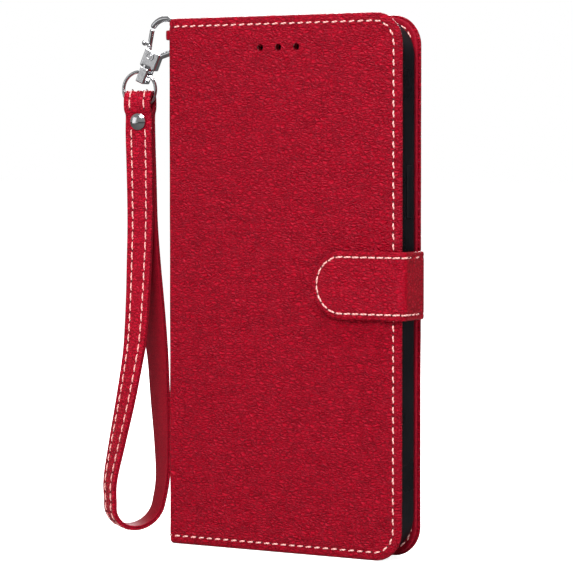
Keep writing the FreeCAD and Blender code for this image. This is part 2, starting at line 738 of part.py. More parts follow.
# Gate: hub on the pin, a bar that closes the hook's mouth and a thumb knob on its outside.
gate_tip = (-3.15, 0.0, 7.5)
knee = (-2.15, 0.0, 2.9)
gate = fuse("gate_solid",
            cylinder("gate_hub", hub_radius, gate_thickness, (0.0, gate_thickness / -2.0, 0.0), V(0, 1, 0)),
            rod("gate_root", (-0.55, 0.0, 0.75), knee, gate_thickness / 2.0 - 0.05),
            ball("gate_knee", knee, gate_wire + 0.07),
            rod("gate_bar", knee, gate_tip, gate_wire),
            ball("gate_end", gate_tip, gate_wire + 0.04),
            rod("gate_knob_stem", (-2.3, 0.0, 3.35), (-4.1, 0.0, 3.1), gate_wire - 0.15),
            ball("gate_knob", (-4.2, 0.0, 3.08), gate_wire + 0.15))
gate_hole = cylinder("gate_hole", pin_radius + pin_gap, gate_thickness + 2.0,
                     (0.0, -(gate_thickness / 2.0) - 1.0, 0.0), V(0, 1, 0))
in_clasp("clasp_gate", cut("clasp_gate", gate, gate_hole))

# Leaf spring that presses the gate shut, on the slot's closed side, with a foot round the hub.
in_clasp("gate_spring",
         cut("gate_spring", box("spring_leaf", 0.3, 0.9, 1.4, (hub_radius - 0.1, -0.45, 0.3)),
             cylinder("spring_relief", hub_radius + 0.06, 2.0, (0.0, -1.0, 0.0), V(0, 1, 0))))

# ---- swivel eye and ring ---------------------------------------------------------------------

eye_block = round_block("eye_loop", eye_width, eye_span, eye_bottom - body_bottom - 0.1,
                        (eye_width / -2.0, eye_span / -2.0, -eye_bottom), 0.4)
eye = fuse("eye_solid", eye_block,
           cylinder("eye_flange", 1.9, 0.45, (0.0, 0.0, -body_bottom - 0.55)),
           cylinder("eye_post", post_radius, 1.7, (0.0, 0.0, -body_bottom - 0.3)),
           cylinder("eye_head", head_radius, 0.85, (0.0, 0.0, -2.6)))
eye_hole = round_block("eye_hole", eye_width + 2.0, eye_span - eye_wall * 2.0,
                       eye_bottom - eye_wall - eye_top,
                       (eye_width / -2.0 - 1.0, eye_span / -2.0 + eye_wall, -(eye_bottom - eye_wall)),
                       0.4)
in_clasp("swivel_eye", cut("swivel_eye", eye, eye_hole))

ring = doc.addObject("Part::Torus", "ring")
bind(ring, "Radius1", ring_radius)
bind(ring, "Radius2", ring_wire)
ring_centre = clasp_point(0, 0, -ring_drop.value)
ring.Placement = FreeCAD.Placement(
    ring_centre, FreeCAD.Rotation(V(0, 0, 1), BAND_TURN).multiply(FreeCAD.Rotation(V(1, 0, 0), 90)))
piece("key_ring", ring)

# ---- wrist strap -----------------------------------------------------------------------------
# A closed band folded over the ring. Its two limbs are riveted together below the ring, then
# part and twist, so that the loop opens sideways at the bottom.
band_middle = spine_middle + 0.45
# Each row: height, half the distance between the limbs, twist in degrees, sideways shift.

LIMB = [
    (141.7, 1.95, 10.0, -16.9), (138.7, 1.85, 10.0, -16.9), (137.2, 0.92, 10.0, -16.8),
    (131.5, 0.90, 10.0, -16.8), (115.0, 1.00, 7.0, -16.3), (102.1, 1.30, 4.0, -16.0),
    (89.2, 2.40, 0.0, -15.6), (76.3, 3.60, -5.0, -15.1), (63.3, 4.80, -10.0, -14.9),
    (56.9, 5.50, -14.0, -15.1), (44.0, 6.95, -19.0, -16.1), (31.0, 8.30, -26.0, -17.3),
    (18.1, 9.10, -33.0, -18.7), (11.7, 8.40, -35.0, -19.3),
]
FOLD_RISE, FOLD_STEPS = 2.2, 5
BEND_DROP, BEND_STEPS = 8.6, 9
CLASP_LEVEL = 155.5          # height of the gate's pin that the rows were set out for
RIVET_SHIFT = -16.8


def band_path():
    """Points of the closed centre line and the direction across the band at each."""
    z, s, twist, x = LIMB[0]
    turns = [math.pi * k / FOLD_STEPS for k in range(1, FOLD_STEPS)]
    rows = [(z + FOLD_RISE * math.sin(a), -s * math.cos(a), twist, x) for a in turns]
    rows += LIMB
    z, s, twist, x = LIMB[-1]
    for a in (math.pi * k / BEND_STEPS for k in range(1, BEND_STEPS)):
        low = math.sin(a)
        rows.append((z - BEND_DROP * low, s * math.cos(a), twist - 2.0 * low, x - 1.2 * low))
    rows += [(z, -s, twist, x) for z, s, twist, x in reversed(LIMB)]
    points, across = [], []
    for z, s, twist, x in rows:
        t = math.radians(twist)
        points.append(V(left.value + x + s * math.sin(t), band_middle.value - s * math.cos(t),
                        z + clasp_z.value - CLASP_LEVEL))
        across.append(V(math.cos(t), math.sin(t), 0))
    return points, across


points, across = band_path()
tangents = [(points[(k + 1) % len(points)] - points[k - 1]).normalize() for k in range(len(points))]


def ribbon(side, half, low, high):
    """Closed strip `side` from the band's centre line, from `low` to `high` outside its mid layer."""
    wires = []
    for p, w, t in zip(points, across, tangents):
        w = (w - t * w.dot(t)).normalize()
        n = t.cross(w)
        corners = [p + w * (side + a) + n * b
                   for a, b in ((-half, low), (half, low), (half, high), (-half, high))]
        wires.append(Part.makePolygon(corners + corners[:1]))
    faces = []
    for a, b in zip(wires, wires[1:] + wires[:1]):
        faces += [Part.makeRuledSurface(e, f) for e, f in zip(a.Edges, b.Edges)]
    shell = Part.makeShell(faces)
    shell.sewShape()
    solid = Part.makeSolid(shell)
    if solid.Volume < 0:
        solid.reverse()
    return solid


def set_shape(label, shape):
    made = doc.addObject("Part::Feature", label)
    made.Shape = shape
    made.Placement = FreeCAD.Placement()
    return piece(label, made)


rivet_level = case_height - rivet_drop
rivet_turn = FreeCAD.Rotation(V(0, 0, 1), BAND_TURN).multiply(FreeCAD.Rotation(V(1, 0, 0), 90))
rivet_base = V(left.value + RIVET_SHIFT, band_middle.value, rivet_level.value)
forward = rivet_turn.multVec(V(0, 0, 1))
rivet_hole = Part.makeCylinder(rivet_post.value + 0.05, 12, rivet_base - forward * 6, forward)
half_band = band_width.value / 2
set_shape("wrist_strap_leather", ribbon(0.0, half_band, 0.0, band_leather.value).cut(rivet_hole))
set_shape("wrist_strap_lining", ribbon(0.0, half_band, -band_lining.value, -0.06).cut(rivet_hole))
for label, side in (("wrist_strap_seam_left", -2.5), ("wrist_strap_seam_right", 2.5)):
    row = ribbon(side, thread_width.value / 2, band_leather.value + 0.01,
                 band_leather.value + thread.value)
    set_shape(label, row.cut(Part.makeCylinder(cap_radius.value + 0.1, 12, rivet_base - forward * 6, forward)))

# Cap rivet: domed cap in front, post through both limbs, flat base behind.
stack = as_size(0.92) + band_leather                 # from the middle to a limb's outer face
dome = (cap_radius.value ** 2 + 0.6 ** 2) / 1.2
cap = doc.addObject("Part::MultiCommon", "rivet_cap")
cap.Shapes = [cylinder("cap_disc", cap_radius, cap_height, (0.0, 0.0, stack + 0.02)),
              ball("cap_dome", (0.0, 0.0, stack.value + cap_height.value + 0.02 - dome), dome)]
rivet = fuse("strap_rivet", cap,
             cylinder("rivet_shank", rivet_post, stack * 2.0 + 0.4, (0.0, 0.0, -stack - 0.2)),
             cylinder("rivet_base", cap_radius - 0.35, 0.5, (0.0, 0.0, -stack - 0.52)))
rivet.Placement = FreeCAD.Placement(rivet_base, rivet_turn)
bind(rivet, "Placement.Base.z", rivet_level)
piece("strap_rivet", rivet)

# ---- check and write -------------------------------------------------------------------------

doc.recompute()
for obj in doc.Objects:
    bad = [s for s in obj.State if s in ("Invalid", "Error")]
    assert not bad, f"{obj.Name} is {bad}"
os.makedirs("parts", exist_ok=True)
for label, obj in parts:
    shape = obj.Shape
    assert not shape.isNull() and shape.isValid(), f"{label} has no valid shape"
    assert shape.Volume > 0 and len(shape.Solids) == 1, f"{label} is not one solid"
    shape.exportStep(f"parts/{label}.step")
print(len(parts), "parts written")
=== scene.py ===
import math

import bmesh
import bpy
import numpy as np
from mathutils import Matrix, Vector


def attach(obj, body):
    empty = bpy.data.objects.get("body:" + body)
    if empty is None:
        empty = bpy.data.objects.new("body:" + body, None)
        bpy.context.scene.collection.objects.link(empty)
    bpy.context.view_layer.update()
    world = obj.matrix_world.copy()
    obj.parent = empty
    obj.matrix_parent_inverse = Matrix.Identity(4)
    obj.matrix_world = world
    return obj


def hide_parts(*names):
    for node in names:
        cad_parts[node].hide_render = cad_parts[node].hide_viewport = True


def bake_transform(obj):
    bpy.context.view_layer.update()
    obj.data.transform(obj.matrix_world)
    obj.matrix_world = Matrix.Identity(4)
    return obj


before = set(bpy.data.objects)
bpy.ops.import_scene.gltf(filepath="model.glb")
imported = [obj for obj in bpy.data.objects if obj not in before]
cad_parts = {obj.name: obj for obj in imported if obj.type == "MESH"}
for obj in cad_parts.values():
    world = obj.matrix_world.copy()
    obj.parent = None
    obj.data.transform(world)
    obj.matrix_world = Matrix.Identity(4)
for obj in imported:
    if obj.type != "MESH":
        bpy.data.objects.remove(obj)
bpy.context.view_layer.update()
MM = 0.001

# ---- Covers: outer leather ---------------------------------------------------------------------
# One piece of pebbled leather wraps the rear cover, the spine and the front cover. Its edges are
# turned, and a stitched channel runs inside the top, right and bottom edges. It is drawn as two
# halves that meet in the middle of the spine, so each half bends across one crease.

LEFT, FRONT = -42.1, -14.4          # spine's outer face and front cover's outer face
HEIGHT, REAR_HEIGHT = 167.0, 166.6
FRONT_W, REAR_W, DEPTH = 85.6, 84.2, 15.6
CORNER, SEAM = 9.5, 2.6
FOLD_R = 0.9                        # radius of the leather's bend at the spine's corners


def link(obj):
    bpy.context.scene.collection.objects.link(obj)
    return obj


def mesh_object(name, verts, faces, attributes=None, material=None, smooth=True):
    """Object from points in millimetres; attributes are vectors in metres, one per point."""
    mesh = bpy.data.meshes.new(name)
    mesh.from_pydata([tuple(c * MM for c in v) for v in verts], [], faces)
    for key, values in (attributes or {}).items():
        layer = mesh.attributes.new(key, "FLOAT_VECTOR", "POINT")
        layer.data.foreach_set("vector", np.asarray(values, np.float32).ravel())
    mesh.validate()
    if smooth:
        mesh.polygons.foreach_set("use_smooth", [True] * len(mesh.polygons))
    if material:
        mesh.materials.append(material)
    return link(bpy.data.objects.new(name, mesh))


class Path:
    """Outline of a folded sheet seen from above: straight runs joined by arcs, walked by length."""

    def __init__(self, start, heading):
        self.runs, self.at, self.heading = [], Vector(start), math.radians(heading)
        self.length = 0.0

    def line(self, length):
        self.runs.append(("line", self.length, length, self.at.copy(), self.heading, 0.0))
        self.at += Vector((math.cos(self.heading), math.sin(self.heading))) * length
        self.length += length
        return self

    def arc(self, radius, turn):
        """turn in degrees, positive to the left; the sheet's outside is on its right."""
        angle = math.radians(turn)
        length = abs(angle) * radius
        self.runs.append(("arc", self.length, length, self.at.copy(), self.heading, angle))
        side = 1.0 if turn > 0 else -1.0
        centre = self.at + Vector((-math.sin(self.heading), math.cos(self.heading))) * radius * side
        self.heading += angle
        self.at = centre - Vector((-math.sin(self.heading), math.cos(self.heading))) * radius * side
        self.length += length
        return self

    def place(self, u, depth):
        """Point at length u, `depth` in from the outside face (to the left of the walk)."""
        run = self.runs[0]
        for candidate in self.runs:
            if u >= candidate[1] - 1e-9:
                run = candidate
        kind, start, length, at, heading, angle = run
        step = u - start
        if kind == "line":
            p = at + Vector((math.cos(heading), math.sin(heading))) * step
        else:
            radius = length / abs(angle)
            side = 1.0 if angle > 0 else -1.0
            centre = at + Vector((-math.sin(heading), math.cos(heading))) * radius * side
            heading += angle * step / length
            p = centre - Vector((-math.sin(heading), math.cos(heading))) * radius * side
        return p + Vector((-math.sin(heading), math.cos(heading))) * depth

    def stops(self, spacing, bend_steps):
        """Lengths at which the sheet needs a column of points."""
        out = [0.0]
        for kind, start, length, *_ in self.runs:
            count = bend_steps if kind == "arc" else max(1, math.ceil(length / spacing))
            out += [start + length * (k + 1) / count for k in range(count)]
        return out


def face_outward(made):
    """Turn all the faces of a closed mesh outward."""
    shell = bmesh.new()
    shell.from_mesh(made.data)
    bmesh.ops.recalc_face_normals(shell, faces=shell.faces)
    shell.to_mesh(made.data)
    shell.free()


def smooth_step(t):
    t = min(max(t, 0.0), 1.0)
    return t * t * (3 - 2 * t)


def half_sheet(name, path, low, high, corner, profile, material, spacing=1.6, rows=90,
               lay_sign=1.0, bend_steps=10, wobble=0.0, drop=0.0, thin=None):
    """A sheet from path length 0 to its end, with rounded corners at the end and an edge profile.

    profile: (inset from the outline, depth in from the outside face), from the flat middle out to
    the edge and under it. The sheet is open-ended at length 0, where its other half joins. drop
    lowers its top edge away from there; thin = (length, less depth) thins it up to that length.
    """
    end = path.length
    columns = [u for u in path.stops(spacing, bend_steps) if u < end - corner - 0.3]
    columns.append(end - corner)
    arc_angles = [math.radians(90.0 * k / 14) for k in range(1, 15)]

    def border(inset):
        """Matching points along the bottom, the right edge and the top at one inset."""
        r = max(corner - inset, 0.05)
        dx = corner - inset - r
        bottom = [(min(u, end - corner + dx), low + inset) for u in columns]
        bottom += [(end - corner + dx + r * math.sin(a), low + corner - dx - r * math.cos(a))
                   for a in arc_angles]
        top = [(u, high + low - z) for u, z in bottom]
        right = []
        for j in range(1, rows):
            t = j / rows
            right.append((bottom[-1][0], bottom[-1][1] * (1 - t) + top[-1][1] * t))
        return bottom, right, top

    verts, lay = [], []

    def add(u, z, depth):
        lay.append((lay_sign * u * MM, z * MM, depth * MM))
        sag = wobble * (math.sin(u * 0.19 + z * 0.07) + math.sin(z * 0.23 - u * 0.11)) * 0.5
        if thin and depth > 1.5:
            depth -= thin[1] * (1 - smooth_step((u - thin[0]) / 4.0))
        z -= drop * smooth_step(u / 8.0) * (z - low) / (high - low)
        verts.append((*path.place(u, depth + sag), z))
        return len(verts) - 1

    loops, faces = [], []
    for inset, depth in profile:
        bottom, right, top = border(inset)
        loops.append([add(u, z, depth) for u, z in bottom + right + top[::-1]])
    for a, b in zip(loops, loops[1:]):
        for i in range(len(a) - 1):
            faces.append((a[i], a[i + 1], b[i + 1], b[i]))

    def fill(loop, inset, depth, flip):
        bottom, right, top = border(inset)
        n = len(bottom)
        ids_bottom, ids_right, ids_top = loop[:n], loop[n:n + rows - 1], loop[n + rows - 1:][::-1]
        grid = [ids_bottom]
        for j in range(1, rows):
            t = j / rows
            row = [add(bottom[i][0], bottom[i][1] * (1 - t) + top[i][1] * t, depth)
                   for i in range(n - 1)]
            grid.append(row + [ids_right[j - 1]])
        grid.append(ids_top)
        for j in range(rows):
            for i in range(n - 1):
                quad = (grid[j][i], grid[j][i + 1], grid[j + 1][i + 1], grid[j + 1][i])
                faces.append(quad[::-1] if flip else quad)

    fill(loops[0], profile[0][0], profile[0][1], False)
    fill(loops[-1], profile[-1][0], profile[-1][1], True)
    obj = mesh_object(name, verts, faces, {"lay": lay}, material)
    tidy = bmesh.new()
    tidy.from_mesh(obj.data)
    bmesh.ops.remove_doubles(tidy, verts=tidy.verts, dist=1e-7)
    bmesh.ops.recalc_face_normals(tidy, faces=tidy.faces)
    tidy.to_mesh(obj.data)
    tidy.free()
    return obj


# -- shader groups shared by the leather pieces --

def new_group(name, inputs, outputs):
    group = bpy.data.node_groups.new(name, "ShaderNodeTree")
    for label, kind, default in inputs:
        socket = group.interface.new_socket(label, in_out="INPUT", socket_type=kind)
        if default is not None:
            socket.default_value = default
    for label, kind in outputs:
        group.interface.new_socket(label, in_out="OUTPUT", socket_type=kind)
    return group, group.nodes.new("NodeGroupInput"), group.nodes.new("NodeGroupOutput")


def node(tree, kind, links=None, **values):
    """Adds a node; keyword names are properties, and links are {input name or index: socket or value}."""
    made = tree.nodes.new(kind)
    for key, value in values.items():
        setattr(made, key, value)
    for key, value in (links or {}).items():
        socket = made.inputs[key]
        if isinstance(value, bpy.types.NodeSocket):
            tree.links.new(value, socket)
        else:
            socket.default_value = value
    return made


def maths(tree, operation, a, b=None, clamp=False):
    made = node(tree, "ShaderNodeMath", operation=operation, use_clamp=clamp)
    for socket, value in zip(made.inputs, (a, b)):
        if isinstance(value, bpy.types.NodeSocket):
            tree.links.new(value, socket)
        elif value is not None:
            socket.default_value = value
    return made.outputs[0]


def ramp(tree, factor, stops, interpolation="LINEAR"):
    made = node(tree, "ShaderNodeValToRGB", {"Fac": factor})
    made.color_ramp.interpolation = interpolation
    elements = made.color_ramp.elements
    while len(elements) < len(stops):
        elements.new(0.5)
    for element, (position, colour) in zip(elements, stops):
        element.position = position
        element.color = colour if len(colour) == 4 else (*colour, 1.0)
    return made.outputs[0]


def grey(v):
    return (v, v, v, 1.0)


def pebble_group():
    """Litchi grain: rounded pebbles parted by creases that run mostly across, with fine pores; a mask of
    the creases is given out for painted shade there.
    """
    g, gin, gout = new_group("pebble_grain",
                             [("Vector", "NodeSocketVector", None), ("Scale", "NodeSocketFloat", 1.0)],
                             [("Height", "NodeSocketFloat"), ("Crease Shade", "NodeSocketFloat"),
                              ("Tone", "NodeSocketFloat")])
    stretch = node(g, "ShaderNodeVectorMath", {0: gin.outputs["Vector"], 1: (540.0, 1120.0, 300.0)},
                   operation="MULTIPLY")
    scaled = node(g, "ShaderNodeVectorMath", {0: stretch.outputs[0], 3: gin.outputs["Scale"]},
                  operation="SCALE")
    drift = node(g, "ShaderNodeTexNoise", {"Vector": scaled.outputs[0], "Scale": 0.55, "Detail": 3.0})
    warp = node(g, "ShaderNodeVectorMath", {0: drift.outputs["Color"], 1: (0.5, 0.5, 0.5)},
                operation="SUBTRACT")
    warped = node(g, "ShaderNodeVectorMath", {0: warp.outputs[0], 1: (1.5, 1.5, 1.5),
                                              2: scaled.outputs[0]}, operation="MULTIPLY_ADD")
    cells = node(g, "ShaderNodeTexVoronoi", {"Vector": warped.outputs[0], "Scale": 1.0,
                                             "Randomness": 1.0}, feature="DISTANCE_TO_EDGE")
    # Mask of the creases, used only to darken the colour there: painted shade in the grain's creases.
    crease = ramp(g, cells.outputs["Distance"], [(0.0, grey(1)), (0.10, grey(0.55)), (0.34, grey(0))],
                  "EASE")
    patch = node(g, "ShaderNodeTexNoise", {"Vector": scaled.outputs[0], "Scale": 0.33, "Detail": 2.0})
    strength = node(g, "ShaderNodeMapRange", {"Value": patch.outputs["Fac"], "From Min": 0.35,
                                              "From Max": 0.62, "To Min": 0.75, "To Max": 1.0})
    crease_shade = maths(g, "MULTIPLY", crease, strength.outputs[0])
    dome = node(g, "ShaderNodeMapRange", {"Value": cells.outputs["Distance"], "From Min": 0.0,
                                          "From Max": 0.55}, interpolation_type="SMOOTHSTEP")
    fine = node(g, "ShaderNodeTexVoronoi", {"Vector": warped.outputs[0], "Scale": 3.1},
                feature="SMOOTH_F1")
    mid = node(g, "ShaderNodeTexNoise", {"Vector": warped.outputs[0], "Scale": 1.7, "Detail": 4.0,
                                         "Roughness": 0.6})
    domed = maths(g, "MULTIPLY", dome.outputs[0], strength.outputs[0])
    height = maths(g, "ADD", domed, maths(g, "MULTIPLY", mid.outputs["Fac"], 1.15))
    height = maths(g, "SUBTRACT", height, maths(g, "MULTIPLY", fine.outputs["Distance"], 0.22))
    g.links.new(height, gout.inputs["Height"])
    g.links.new(crease_shade, gout.inputs["Crease Shade"])
    g.links.new(mid.outputs["Fac"], gout.inputs["Tone"])
    return g


PEBBLE = pebble_group()


def lay_vector(tree):
    lay = node(tree, "ShaderNodeAttribute", attribute_name="lay", attribute_type="GEOMETRY")
    return lay.outputs["Vector"]


def new_material(name):
    material = bpy.data.materials.new(name)
    material.use_nodes = True
    tree = material.node_tree
    tree.nodes.clear()
    shader = tree.nodes.new("ShaderNodeBsdfPrincipled")
    out = tree.nodes.new("ShaderNodeOutputMaterial")
    tree.links.new(shader.outputs[0], out.inputs["Surface"])
    return material, tree, shader


LEATHER_SPECULAR = 0.24                 # level of the leather's shine
LEATHER_TINT = (1.0, 0.26, 0.46, 1)     # tint of its reflections
CALM_GRAIN = 0.12                       # share of the grain left where it is calm


def leather(name, light, dark, calm=None, grain=1.0, depth=0.00085, rough=(0.27, 0.42)):
    material, tree, shader = new_material(name)
    where = lay_vector(tree)
    grain_node = node(tree, "ShaderNodeGroup", node_tree=PEBBLE)
    tree.links.new(where, grain_node.inputs["Vector"])
    grain_node.inputs["Scale"].default_value = grain
    blotch = node(tree, "ShaderNodeTexNoise", {"Vector": where, "Scale": 60.0, "Detail": 3.0})
    base = node(tree, "ShaderNodeMix", {"Factor": blotch.outputs["Fac"]}, data_type="RGBA")
    base.inputs["A"].default_value = (*light, 1)
    base.inputs["B"].default_value = (light[0] * 0.86, light[1] * 0.8, light[2] * 0.82, 1)
    # The colour is mixed towards `dark` in the creases: painted shade in the grain's creases.
    crease_shaded = node(tree, "ShaderNodeMix", {"Factor": grain_node.outputs["Crease Shade"]}, data_type="RGBA")
    tree.links.new(base.outputs["Result"], crease_shaded.inputs["A"])
    crease_shaded.inputs["B"].default_value = (*dark, 1)
    tree.links.new(crease_shaded.outputs["Result"], shader.inputs["Base Color"])
    roughness = node(tree, "ShaderNodeMapRange", {"Value": grain_node.outputs["Tone"], "From Min": 0.3,
                                                  "From Max": 0.7, "To Min": rough[0],
                                                  "To Max": rough[1]})
    tree.links.new(roughness.outputs[0], shader.inputs["Roughness"])
    shader.inputs["Specular IOR Level"].default_value = LEATHER_SPECULAR
    shader.inputs["Specular Tint"].default_value = LEATHER_TINT
    height = grain_node.outputs["Height"]
    if calm:
        along = node(tree, "ShaderNodeSeparateXYZ", {0: where}).outputs["X"]
        stretch = node(tree, "ShaderNodeMapRange", {"Value": maths(tree, "ABSOLUTE", along),
                                                    "From Min": calm[0], "From Max": calm[1],
                                                    "To Min": CALM_GRAIN, "To Max": 1.0})
        height = maths(tree, "MULTIPLY", height, stretch.outputs[0])
    bump = node(tree, "ShaderNodeBump", {"Height": height, "Distance": depth, "Strength": 1.0})
    tree.links.new(bump.outputs[0], shader.inputs["Normal"])
    return material


# RED is the leather's colour; the darker one is painted shade for the grain's creases.
RED, RED_CREASE_SHADE = (0.385, 0.0015, 0.014), (0.13, 0.0004, 0.004)
cover_leather = leather("cover_leather", RED, RED_CREASE_SHADE)

EDGE = [(3.6, 0.00), (3.1, 0.02), (2.85, 0.10), (2.6, 0.15), (2.35, 0.11), (2.0, 0.02), (1.5, 0.02),
        (1.0, 0.09), (0.6, 0.24), (0.3, 0.46), (0.1, 0.74), (0.0, 1.05), (0.06, 1.30), (0.25, 1.46),
        (0.6, 1.50), (1.8, 1.45), (2.3, 1.02)]


def cover_path(width, mirrored):
    """From the middle of the spine round one crease and along one cover, seen from above."""
    middle = FRONT + DEPTH / 2
    reach = DEPTH / 2 - FOLD_R
    way = -1 if mirrored else 1
    return Path((LEFT, middle), -90 * way).line(reach).arc(FOLD_R, 90 * way).line(width - FOLD_R)


class Mirrored:
    """A path whose outside face is on the left of the walk."""

    def __init__(self, path):
        self.path, self.length, self.stops = path, path.length, path.stops

    def place(self, u, depth):
        return self.path.place(u, -depth)


front_path = cover_path(FRONT_W, False)
rear_path = Mirrored(cover_path(REAR_W, True))
BACK = FRONT + DEPTH


def cut_holes(obj, cutters, face_y, sign=1):
    """Cuts openings right through obj, then marks its flat part again, new points included."""
    for cutter in cutters:
        change = obj.modifiers.new("opening", "BOOLEAN")
        change.object, change.solver, change.material_mode = cutter, "EXACT", "TRANSFER"
    bpy.context.view_layer.update()
    cut_mesh = bpy.data.meshes.new_from_object(obj.evaluated_get(bpy.context.evaluated_depsgraph_get()))
    obj.modifiers.clear()
    obj.data = cut_mesh
    cut_mesh.set_sharp_from_angle(angle=math.radians(50))
    ahead = (DEPTH / 2 - 0.429 * FOLD_R - LEFT) * MM
    for point, mark in zip(cut_mesh.vertices, cut_mesh.attributes["lay"].data):
        if point.co.x > (LEFT + 8) * MM:
            mark.vector = (sign * (point.co.x + ahead), point.co.z, abs(point.co.y - face_y * MM))
    for cutter in cutters:
        bpy.data.objects.remove(cutter)


def dark_material(name, low, high):
    """Dyed, fibrous dark finish for raw edges; on the needle holes it is painted shade."""
    material, tree, shader = new_material(name)
    where = node(tree, "ShaderNodeTexCoord").outputs["Object"]
    grain = node(tree, "ShaderNodeTexNoise", {"Vector": where, "Scale": 2500.0})
    tree.links.new(ramp(tree, grain.outputs["Fac"], [(0.3, low), (0.7, high)]), shader.inputs["Base Color"])
    shader.inputs["Roughness"].default_value = 0.85
    return material


punched_edge = dark_material("punched_edge", (0.006, 0.002, 0.002), (0.02, 0.004, 0.005))


def hole_cutter(x, z, radius):
    bpy.ops.mesh.primitive_cylinder_add(vertices=40, radius=radius * MM, depth=8 * MM,
                                        location=(x * MM, (FRONT + 1) * MM, z * MM),
                                        rotation=(math.pi / 2, 0, 0))
    bpy.context.object.data.materials.append(punched_edge)
    return bpy.context.object


def window_cutter(x0, x1, z0, z1, radius, reach=6.0):
    """Rounded rectangular bar along Y, to cut the camera window with."""
    outline = []
    for cx, cz, start in ((x1 - radius, z0 + radius, 270), (x1 - radius, z1 - radius, 0),
                          (x0 + radius, z1 - radius, 90), (x0 + radius, z0 + radius, 180)):
        outline += [(cx + radius * math.cos(math.radians(start + 9 * k)),
                     cz + radius * math.sin(math.radians(start + 9 * k))) for k in range(11)]
    n = len(outline)
    verts = [(x, -reach, z) for x, z in outline] + [(x, reach, z) for x, z in outline]
    faces = [tuple(range(n)), tuple(range(2 * n - 1, n - 1, -1))]
    faces += [(i, n + i, n + (i + 1) % n, (i + 1) % n) for i in range(n)]
    bar = mesh_object("window_bar", verts, faces, smooth=False)
    face_outward(bar)
    return bar


EARPIECE_X, EARPIECE_Z, EARPIECE_PITCH = LEFT + 41.5, HEIGHT - 9.9, 6.64
CAMERA = (2.9, 36.9, 124.9, 160.9)      # camera window in the holder: x, x, z, z


def earpiece_cutters(radius):
    return [hole_cutter(EARPIECE_X + EARPIECE_PITCH * k, EARPIECE_Z, radius) for k in (-1, 0, 1)]


def camera_cutters():
    """Bar for the camera window of the cover, 1 mm wider all round than the holder's."""
    x0, x1, z0, z1 = CAMERA
    return [window_cutter(x0 - 1, x1 + 1, z0 - 1, z1 + 1, 7)]


front_leather = half_sheet("front_leather", front_path, 0, HEIGHT, CORNER, EDGE, cover_leather,
                           wobble=0.03)
cut_holes(front_leather, earpiece_cutters(1.1), FRONT)
rear_leather = half_sheet("rear_leather", rear_path, 0, HEIGHT, CORNER, EDGE, cover_leather,
                          lay_sign=-1.0, wobble=0.03, drop=HEIGHT - REAR_HEIGHT)
cut_holes(rear_leather, camera_cutters(), BACK, -1)

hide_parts("front_skin", "spine_skin")
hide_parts("rear_skin")
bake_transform(front_leather)
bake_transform(rear_leather)

# ---- Covers: linings and boards ----------------------------------------------------------------
# Smooth red lining glued inside the leather, caught by the same seam. The fibre boards between
# the two and the magnet plate stay as solids of the frame: they are seen only at the openings.

lining_leather = leather("lining_leather", (0.30, 0.004, 0.014), (0.13, 0.001, 0.006), grain=2.6,
                         depth=0.00004, rough=(0.5, 0.66))


def lining_profile(face):
    return [(3.6, face), (3.0, face - 0.02), (2.6, face - 0.10), (2.2, face - 0.02), (1.2, face),
            (0.95, face - 0.06), (0.8, face - 0.2), (0.75, 1.62), (0.85, 1.54), (1.9, 1.5),
            (2.4, 1.06)]


REACH = DEPTH / 2
front_inside = half_sheet("front_lining_sheet", front_path, 0, HEIGHT, CORNER, lining_profile(2.08),
                          lining_leather, spacing=4, rows=30, thin=(REACH + 1.0, 0.50))
cut_holes(front_inside, earpiece_cutters(1.15), FRONT)
rear_inside = half_sheet("rear_lining_sheet", rear_path, 0, HEIGHT, CORNER, lining_profile(2.37),
                         lining_leather, spacing=4, rows=30, lay_sign=-1.0,
                         drop=HEIGHT - REAR_HEIGHT, thin=(REACH + 1.0, 0.79))
cut_holes(rear_inside, camera_cutters(), BACK, -1)
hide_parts("front_lining", "spine_lining")
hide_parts("rear_lining")
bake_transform(front_inside)
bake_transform(rear_inside)


def object_vector(tree):
    return node(tree, "ShaderNodeTexCoord").outputs["Object"]


# ---- Stitching ---------------------------------------------------------------------------------
# Thick bonded thread, pinkish cream and darker red in the grooves of its twist as painted shade, sewn
# in rows just inside the edges. Every stitch arches out of one needle hole and into the next.

def thread_group():
    """Tone and height of a two-ply twist, from the stitch's own coordinates; the tone is low in the grooves
    between plies, for painted shade there.
    """
    g, gin, gout = new_group("thread_twist", [("Vector", "NodeSocketVector", None)],
                             [("Height", "NodeSocketFloat"), ("Tone", "NodeSocketFloat")])
    parts = node(g, "ShaderNodeSeparateXYZ", {0: gin.outputs["Vector"]})
    around = maths(g, "ARCTAN2", parts.outputs["Y"], parts.outputs["Z"])
    phase = maths(g, "ADD", maths(g, "MULTIPLY", parts.outputs["X"], 5200.0),
                  maths(g, "MULTIPLY", around, 2.0))
    twist = maths(g, "MULTIPLY_ADD", maths(g, "SINE", phase), 0.5)
    twist.node.inputs[2].default_value = 0.5
    g.links.new(twist, gout.inputs["Height"])
    fibre = node(g, "ShaderNodeTexNoise", {"Vector": gin.outputs["Vector"], "Scale": 9000.0})
    g.links.new(maths(g, "MULTIPLY", twist, fibre.outputs["Fac"]), gout.inputs["Tone"])
    return g


THREAD_TWIST = thread_group()


